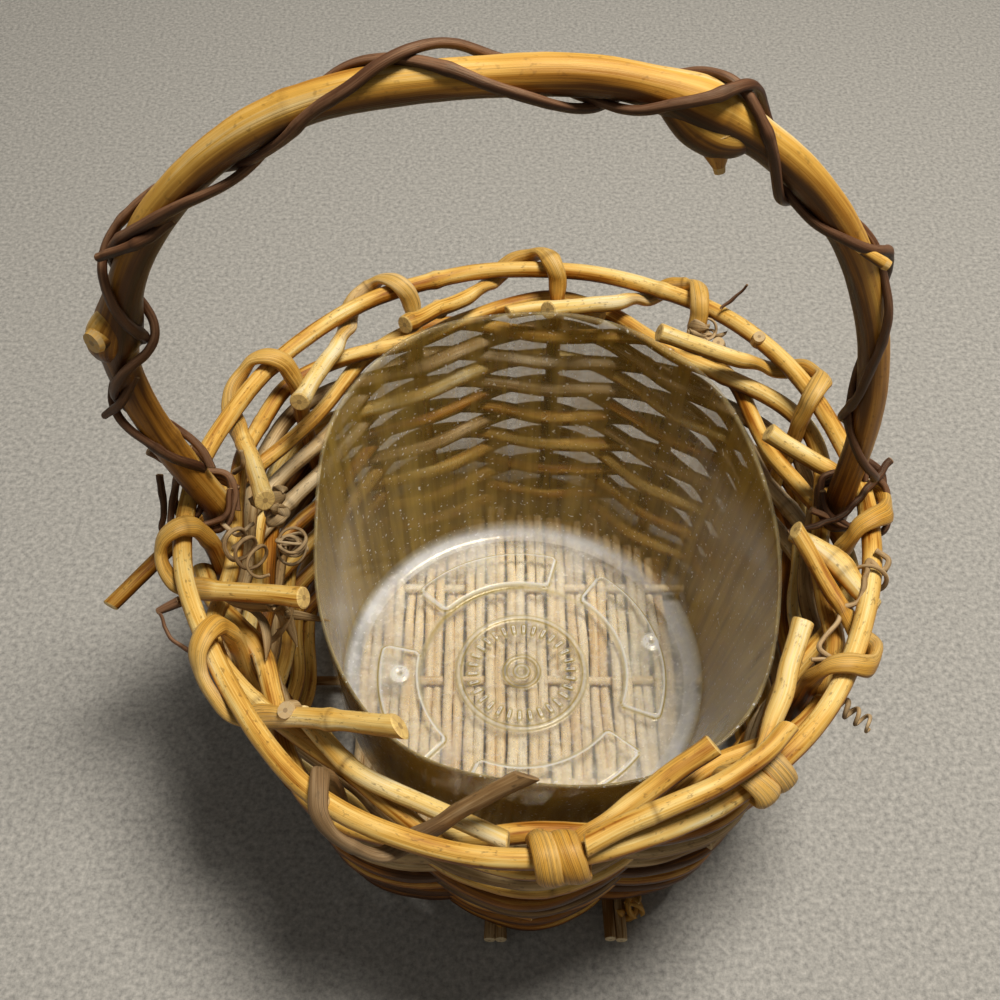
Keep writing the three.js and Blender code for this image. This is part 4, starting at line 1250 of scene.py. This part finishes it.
def swelling(share, way, away, half, radius, rng):
    """A swelling along one side of the handle, run out into it at both ends."""
    reach = np.linspace(-1, 1, SWELLING_POINTS)
    out = unit(np.array(way, float))
    line = [arch_at(share + half * part / ARCH_LENGTH) + out * away * (1 - part ** 2) for part in reach]
    radii = radius * lerp(SWELLING_ENDS, 1, np.cos(math.pi / 2 * reach) ** SWELLING_ROUND)
    return rod(np.array(line), radii, rng, taper=0.0, spacing=30, swell=0.2)


def strands(table, rng):
    made = []
    for radius, wander, points in table:
        line = wandered(smooth(points, 0.7), rng, amount=wander, wave=14)
        made.append(rod(line, radius, rng, taper=0.3, spacing=14, swell=0.2))
    return made


def tangle(middle, reach, turns, rng):
    """One long curl wound into a loose ball."""
    steps = np.linspace(0, 2 * math.pi * turns, int(turns * BALL_STEPS_PER_TURN))
    lean, swing, out = (amount * np.sin(pace * steps + rng.uniform(0, 6)) for amount, pace in BALL_WAVES)
    away = reach * (BALL_SHARE + out)
    x = np.cos(steps)
    y = np.sin(steps) * np.cos(lean)
    z = np.sin(steps) * np.sin(lean) + swing
    curl = np.stack([x, y, z], axis=1)
    return rod(np.array(middle) + curl * away[:, None], 0.45, rng, taper=0.2, spacing=10, swell=0.15)


def flakes(table, rng):
    """Flakes of loose bark, each curled a little."""
    made = []
    shares = np.linspace(-0.5, 0.5, FLAKE_POINTS)
    for middle, spread, count, radius, length, flatness in table:
        for _ in range(count):
            way = unit(rng.normal(0, 1, 3) + np.array([0, 0, 0.6]))
            side = unit(np.cross(way, rng.normal(0, 1, 3)))
            size = length * rng.uniform(0.6, 1.2)
            start = np.array(middle) + rng.normal(0, spread, 3)
            line = start + np.outer(shares * size, way) + np.outer(size * (shares ** 2), side)
            line[:, 2] = np.maximum(line[:, 2], 2 * radius)
            radii = radius * rng.uniform(0.6, 1.2) * (0.12 + np.cos(math.pi * shares) ** 0.6)
            made.append(rod(line, radii, rng, taper=0, spacing=9, swell=0.1, flat=flatness, flat_way=side))
    return made


def add_side_shoots():
    rng = draws(900)
    left, right = KNOT_PLACES
    shoots = [
        swelling(left, (-0.72, -0.66, 0.0), 3.6, 9.5, 4.9, rng),
        spur(arch_at(left) + (0, 0, 1.5), (-0.52, -0.84, 0.1), 7.1, 4.4, 3.2, rng),
        swelling(right, (0.05, -0.3, -0.95), 4.8, 12.5, 5.2, rng),
        spur(arch_at(right) + (1.1, -1.1, -4.5), (0.24, -0.22, -0.94), 8.3, 5.4, 1.5, rng),
        spur((75.5, -1.0, 206.2), (0.86, -0.3, -0.4), 6, 1.2, 1.45, rng),
    ]
    grown(
        "handle_side_shoots", shoots, handle_bark, "handle_vine",
        sides=28, lump_depth=0.16, cut_bevel=0.0014, seed=901.0,
    )
    scars = []
    for degrees, inset, height, radius in HOOP_SCARS:
        root = polar(hoop_radius(degrees) - inset, degrees, height)
        scars.append(spur(root, (-0.15, -0.4, 0.9), radius + 0.7, radius, 0.8 * radius, rng))
    grown("rim_scars", scars, dry, "willow_rod", sides=22, lump_depth=0.25, cut_bevel=0.001, seed=911.0)


def add_stub_shoulder():
    line = smooth(SHOULDER, 0.8)
    radii = np.interp(np.linspace(0, 1, len(line)), SHOULDER_SHARES, SHOULDER_RADII)
    shoulder = rod(line, radii, draws(930), taper=0, spacing=9, swell=0.3, slants=(0, 20))
    grown(
        "stub_shoulder", [shoulder], willow, "willow_rod",
        sides=22, ridge_depth=0.05, lump_depth=0.12, seed=931.0,
    )


def add_loose_bark():
    rng = draws(950)
    for name, table, bark, seed in (
        ("loose_bark", LOOSE_BARK, dry, 951.0), ("frayed_ends", FRAYED_ENDS, willow, 941.0)
    ):
        grown(
            name, flakes(table, rng), bark, "willow_rod",
            sides=12, ridge_depth=0.16, lump_depth=0.3, seed=seed,
        )
    curls = [tangle((-69, -9, 101.5), 4.6, 8, rng)]
    curls += strands(LEFT_CURLS, rng)
    curls.append(tangle((62, 78, 103), 3.6, 4, rng))
    curls += strands(RIGHT_CURLS, rng)
    grown(
        "dry_curls", curls, tendril_bark, "dark_vine",
        sides=10, lump_depth=0.16, lump_size=0.004, seed=961.0,
    )
    vines = strands(FOOT_STRANDS, rng)
    vines.append(spur((-104.5, -31.5, 100.6), (0.75, 0.2, 0.3), 7, 1.1, 1.7, rng))
    vines += strands(HIGH_STRANDS, rng)
    grown(
        "loose_vine_strands", vines, vine_bark, "dark_vine",
        sides=12, lump_depth=0.16, lump_size=0.006, seed=971.0,
    )


add_hoop()
add_stakes()
add_weavers()
add_base()
add_border_rods()
add_handle()
add_vines()
add_lashings()
add_tendrils()
add_side_shoots()
add_stub_shoulder()
add_loose_bark()


# Liner: a moulded cup with a raised ring and short ribs, raised pads round it and dimples on its floor

LINER_SEGMENTS = 420
FLOOR_RINGS = 96
UNDERSIDE_RINGS = 6
CORNER_RINGS = 8
WALL_RINGS = 44
RING_RADIUS = 22.5
RING_WIDTH = 0.9
RING_HEIGHT = 0.6
RIB_COUNT = 30
RIB_MIDDLE = 17.5
RIB_HALF = 2.6
RIB_HEIGHT = 0.8
RIB_STEEPNESS = 2.2
RIB_SINK = 0.6
RIB_ENDS = 1.5
PAD_MIDDLE = 44
PAD_HALF = 7
PAD_CORNER = 2.5
PAD_SLOPE = 1.7
PAD_HEIGHT = 1.2
# Each raised pad: the angles where it starts and ends
PADS = ((74, 138), (-22, 54), (246, 322), (168, 226))
# Waves that the mouth is buckled by: amount, count, phase
BUCKLES = ((0.4, 5, 0.7), (0.3, 9, 2.1))
# Each dimple: radius, angle, width
DIMPLES = ((43.5, 182, 4.4), (48.5, 14, 4.4), (0, 0, 4.6), (0, 0, 12))
DIMPLE_EDGE = 0.7
DIMPLE_HEIGHT = 0.6
# A yellowed stain lies along the pads' inner edges, strongest at this angle
GILT_RADIUS = 36
GILT_WIDTH = 1.1
GILT_TURN = math.radians(120)
# Relief this steep has a painted highlight above this height, at its ridges, and painted shade below, at its
# foot
SLOPE_STEP = 0.3
STEEP = 0.55
RIDGE_HEIGHT = 0.3
# The corner and lip get a painted highlight too: height, width and reach in from the wall, and the lip's share
CORNER_SHINE = (1.8, 1.2, 6.5)
LIP_SHINE = 0.2
# The look's streaks run up the wall, which is shortened this much where they are drawn
STREAK_SHARE = 0.06


def floor_relief(x, y):
    """Height of the moulded floor's relief at a place."""
    radius = np.hypot(x, y)
    degrees = np.degrees(np.arctan2(y, x)) % 360
    relief = RING_HEIGHT * bump(radius - RING_RADIUS, RING_WIDTH)
    ribs = np.clip(RIB_STEEPNESS * np.sin(np.radians(degrees) * RIB_COUNT) - RIB_SINK, 0, 1)
    along_rib = np.abs(radius - RIB_MIDDLE) / RIB_HALF
    relief = relief + RIB_HEIGHT * ribs * np.clip(RIB_ENDS - along_rib * RIB_ENDS, 0, 1)
    for start, end in PADS:
        half = (end - start) / 2
        aside = np.abs((degrees - start - half + 180) % 360 - 180)
        beyond = np.maximum(0, np.radians(aside - half) * radius + PAD_CORNER)
        across = np.maximum(0, np.abs(radius - PAD_MIDDLE) - PAD_HALF + PAD_CORNER)
        edge = np.clip(0.5 - (np.hypot(beyond, across) - PAD_CORNER) / PAD_SLOPE, 0, 1)
        relief = relief + PAD_HEIGHT * eased(edge)
    for at, angle, width in DIMPLES:
        spot = polar(at, angle, 0)
        away = np.hypot(x - spot[0], y - spot[1])
        relief = relief + DIMPLE_HEIGHT * bump(away - 0.5 * width, DIMPLE_EDGE)
    return relief


def relief_slope(x, y):
    slope_x = floor_relief(x + SLOPE_STEP, y) - floor_relief(x - SLOPE_STEP, y)
    slope_y = floor_relief(x, y + SLOPE_STEP) - floor_relief(x, y - SLOPE_STEP)
    return np.hypot(slope_x, slope_y) / (2 * SLOPE_STEP)


def liner_rings(wall):
    """Radius and height of the rings of the cup's inside, at a wall's thickness, or its outside, at none."""
    outer = LINER_FLOOR_RADIUS
    corner = LINER_CORNER - wall
    flat = outer - LINER_CORNER
    floor = FLOOR_RINGS if wall else UNDERSIDE_RINGS
    rings = [(flat * i / floor, wall) for i in range(1, floor + 1)]
    for i in range(1, CORNER_RINGS + 1):
        turn = math.pi / 2 * i / CORNER_RINGS
        rings.append((flat + corner * math.sin(turn), LINER_CORNER - corner * math.cos(turn)))
    for i in range(1, WALL_RINGS + 1):
        rings.append((outer - wall, lerp(LINER_CORNER, LINER_DEPTH, i / WALL_RINGS)))
    return rings


def liner_ring(radius, height, wall, turns):
    """Points of one ring, and the values that the liner's look needs there."""
    x = radius * np.cos(turns)
    y = radius * np.sin(turns)
    relief = steep = gilt = np.zeros(len(turns))
    if wall and height <= wall:
        relief = floor_relief(x, y)
        steep = np.clip(relief_slope(x, y) / STEEP, 0, 1)
        gilt = bump(radius - GILT_RADIUS, GILT_WIDTH) * np.clip(np.cos(turns - GILT_TURN), 0, 1)
    high = np.clip((relief - RIDGE_HEIGHT) / RIDGE_HEIGHT, 0, 1)
    shine_height, shine_width, shine_reach = CORNER_SHINE
    in_corner = bump(height - shine_height, shine_width) if radius > LINER_FLOOR_RADIUS - shine_reach else 0
    values = {
        "rise": height / LINER_DEPTH,
        # Painted light: a highlight on the corner, the lip and the relief's ridges, and an olive shade at its
        # foot
        "edge": max(in_corner, LIP_SHINE * bump(LINER_DEPTH - height, 1)),
        "ridge_highlight": steep * high,
        "foot": steep * (1 - high),
        "reach": radius / LINER_FLOOR_RADIUS,
        "gilt": gilt,
        "inner": 1.0 if wall else 0.0,
    }
    return np.stack([x, y, height + relief], axis=1), values


def drawn_out(x, y, z):
    """The straight cup drawn out to its mouth, shifted, tilted and a little buckled."""
    share = z / LINER_DEPTH
    turn = np.arctan2(y, x)
    reach = np.hypot(x, y) / LINER_FLOOR_RADIUS
    mouth_x, mouth_y = mouth_point(turn)
    buckle = share ** 2 * sum(amount * np.sin(count * turn + phase) for amount, count, phase in BUCKLES)
    tilt = LINER_TILT * share * y / LINER_FLOOR_RADIUS
    moved_x = lerp(x, MOUTH_X + (mouth_x - MOUTH_X) * reach, share) + buckle * np.cos(turn)
    moved_y = lerp(y, MOUTH_Y + (mouth_y - MOUTH_Y) * reach, share) + buckle * np.sin(turn)
    return np.stack([moved_x, moved_y, LINER_BOTTOM + z + tilt], axis=1)


def add_liner(material):
    turns = np.arange(LINER_SEGMENTS) * 2 * math.pi / LINER_SEGMENTS
    points = []
    values = {}
    faces = []
    lips = []
    for wall in (LINER_WALL, 0.0):
        first = sum(map(len, points))
        middle, at_middle = liner_ring(0, wall, 0.0, turns[:1])
        rings = [(middle, dict.fromkeys(at_middle, 0.0))]
        rings += [liner_ring(radius, height, wall, turns) for radius, height in liner_rings(wall)]
        for ring, at_ring in rings:
            points.append(ring)
            for key, value in at_ring.items():
                values.setdefault(key, []).append(np.broadcast_to(value, len(ring)))

        def corner(ring, turn):
            return first + 1 + ring * LINER_SEGMENTS + turn % LINER_SEGMENTS

        last = len(rings) - 2
        way = 1 if wall else -1
        for turn in range(LINER_SEGMENTS):
            faces.append((first, corner(0, turn), corner(0, turn + 1))[::way])
            for ring in range(last):
                start = (corner(ring, turn), corner(ring + 1, turn))
                faces.append((*start, corner(ring + 1, turn + 1), corner(ring, turn + 1))[::way])
        lips.append([corner(last, turn) for turn in range(LINER_SEGMENTS)])
    for turn in range(LINER_SEGMENTS):
        after = (turn + 1) % LINER_SEGMENTS
        faces.append((lips[0][turn], lips[1][turn], lips[1][after], lips[0][after]))
    cup = np.concatenate(points)
    x, y, z = cup.T
    mesh = bpy.data.meshes.new("liner_cup")
    mesh.from_pydata((drawn_out(x, y, z) * MM).tolist(), [], faces)
    for key, parts in values.items():
        store(mesh, key, np.concatenate(parts))
    turn = np.arctan2(y, x)
    unrolled = np.stack([np.cos(turn), np.sin(turn), STREAK_SHARE * z / LINER_FLOOR_RADIUS], axis=1)
    store(mesh, "unrolled", unrolled * LINER_FLOOR_RADIUS * MM)
    mesh.polygons.foreach_set("use_smooth", [True] * len(mesh.polygons))
    mesh.materials.append(material)
    mesh.update()
    piece = shown("liner_cup", mesh)
    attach(piece, "liner")
    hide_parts("liner")


def liner_material():
    """Old clear plastic: a streaked olive haze on its wall, a pale bloom on its floor, specks of dust, painted
    highlights on its ridges, corner and lip, and painted shade at the foot of its relief.
    """
    material, tree, shader = new_material("cloudy_liner")
    spot = tree.spot()
    streaks = tree.noise(tree.value("unrolled", "Vector"), 260.0, 6.0)
    clouds = tree.noise(spot, 55.0, 5.0)
    scuffs = tree.noise(spot, 420.0, 3.0)
    patches = tree.noise(spot, 28.0, 3.0)
    specks = tree.from_to(tree.noise(spot, 900.0, 0.0), 0.74, 0.82)
    rise = tree.value("rise")
    # Painted highlight on the corner and the lip
    edge = tree.value("edge")
    # Painted highlight on the relief's ridges
    ridge_highlight = tree.value("ridge_highlight")
    # The pads' yellowed stain, together with a painted olive shade at the relief's foot
    gilt = tree.maths("MAXIMUM", tree.value("gilt"), tree.value("foot"))
    wall = tree.from_to(rise, 0.025, 0.065)
    rim_of_floor = tree.from_to(tree.value("reach"), 0.52, 0.80)
    facing = tree.node("ShaderNodeLayerWeight", {"Blend": 0.5}).outputs["Facing"]
    grazing = tree.times(tree.maths("POWER", facing, 1.6), wall)
    haze = tree.add(
        tree.from_to(streaks, 0.34, 0.68, 0.18, 0.33),
        tree.from_to(rise, 0.15, 0.6, 0.06, 0.0),
        tree.from_to(patches, 0.35, 0.65, -0.06, 0.14),
    )
    bloom = tree.add(
        tree.from_to(clouds, 0.4, 0.7, 0.04, 0.22),
        tree.from_to(scuffs, 0.5, 0.7, 0.0, 0.22),
        tree.times(rim_of_floor, tree.from_to(clouds, 0.35, 0.65, 0.02, 0.34)),
    )
    cover = tree.add(
        tree.times(haze, tree.times(wall, 1.4)),
        tree.times(bloom, tree.minus(1.0, wall)),
        tree.times(edge, 0.45),
        tree.times(ridge_highlight, 0.8),
        tree.times(specks, 0.25),
        tree.times(gilt, 0.62),
        tree.times(grazing, 0.85),
    )
    cover = tree.times(cover, tree.from_to(tree.value("inner"), 0.0, 1.0, 0.2, 1.0))
    wall_colour = tree.mixed(tree.from_to(streaks, 0.32, 0.70), (0.22, 0.14, 0.02), (0.42, 0.29, 0.055))
    colour = tree.mixed(wall, (0.95, 0.89, 0.76), wall_colour)
    # Painted highlights on the corner, lip and ridges, mixed with pale specks of dust
    pale = tree.times(tree.add(edge, ridge_highlight, specks), 0.9, clamp=True)
    colour = tree.mixed(pale, colour, (0.92, 0.91, 0.86))
    height = tree.add(streaks, tree.times(scuffs, 0.4))
    tree.feed(shader, {
        "Base Color": tree.mixed(gilt, colour, (0.38, 0.29, 0.06)),
        "Roughness": tree.from_to(clouds, 0.3, 0.7, 0.08, 0.24),
        "Alpha": tree.add(cover, 0.02, clamp=True),
        "Specular Tint": (1.0, 0.90, 0.68, 1),
        "Subsurface Weight": 0.5,
        "Subsurface Radius": (1.0, 0.85, 0.5),
        "Subsurface Scale": 0.004,
        "Normal": tree.bumped(height, 0.15, 0.0005),
    })
    return material


add_liner(liner_material())


# Stage, in metres

CAMERA_PLACE = (-0.0077, -0.216, 0.388)
CAMERA_TILT = math.radians(38)
CAMERA_SENSOR = 36
CAMERA_LENS = 43.2
FLOOR_HALF = 4.0
FLOOR_BELOW = 0.0004
LAMP_TARGET = (0, 0, 0.08)
WORLD_COLOUR = (1.0, 0.93, 0.82, 1)
WORLD_STRENGTH = 0.10


def add_camera():
    data = bpy.data.cameras.new("camera")
    data.sensor_width = CAMERA_SENSOR
    data.lens = CAMERA_LENS
    camera = shown("camera", data)
    camera.location = CAMERA_PLACE
    camera.rotation_euler = (CAMERA_TILT, 0, 0)
    bpy.context.scene.camera = camera


def add_floor():
    material, tree, shader = new_material("pale_floor")
    fluff = tree.noise(tree.spot(), 520.0, 6.0, 0.7)
    colour = tree.mixed(tree.from_to(fluff, 0.32, 0.68), (0.25, 0.245, 0.23), (0.55, 0.53, 0.49))
    tree.feed(shader, {"Base Color": colour, "Roughness": 0.95})
    mesh = bpy.data.meshes.new("floor")
    corners = [(x * FLOOR_HALF, y * FLOOR_HALF, 0) for x, y in ((-1, -1), (1, -1), (1, 1), (-1, 1))]
    mesh.from_pydata(corners, [], [(0, 1, 2, 3)])
    mesh.materials.append(material)
    floor = shown("floor", mesh)
    floor.location.z = -FLOOR_BELOW


def add_lamp(name, spot, size, power, colour):
    data = bpy.data.lights.new(name, "AREA")
    data.shape = "DISK"
    data.size = size
    data.energy = power
    data.color = colour
    lamp = shown(name, data)
    lamp.location = spot
    x, y, z = np.array(LAMP_TARGET) - np.array(spot)
    lamp.rotation_euler = (math.atan2(math.hypot(x, y), -z), 0, math.atan2(y, x) - math.pi / 2)


def add_light():
    world = bpy.data.worlds.new("studio")
    world.use_nodes = True
    background = world.node_tree.nodes["Background"]
    background.inputs["Color"].default_value = WORLD_COLOUR
    background.inputs["Strength"].default_value = WORLD_STRENGTH
    bpy.context.scene.world = world
    add_lamp("key", (0.28, 0.08, 1.25), 0.40, 16.5, (1.0, 0.95, 0.87))
    add_lamp("fill", (-0.7, -0.5, 1.2), 1.2, 0.5, (0.94, 0.97, 1.0))


add_camera()
add_floor()
add_light()
bpy.context.scene.view_settings.view_transform = "Standard"
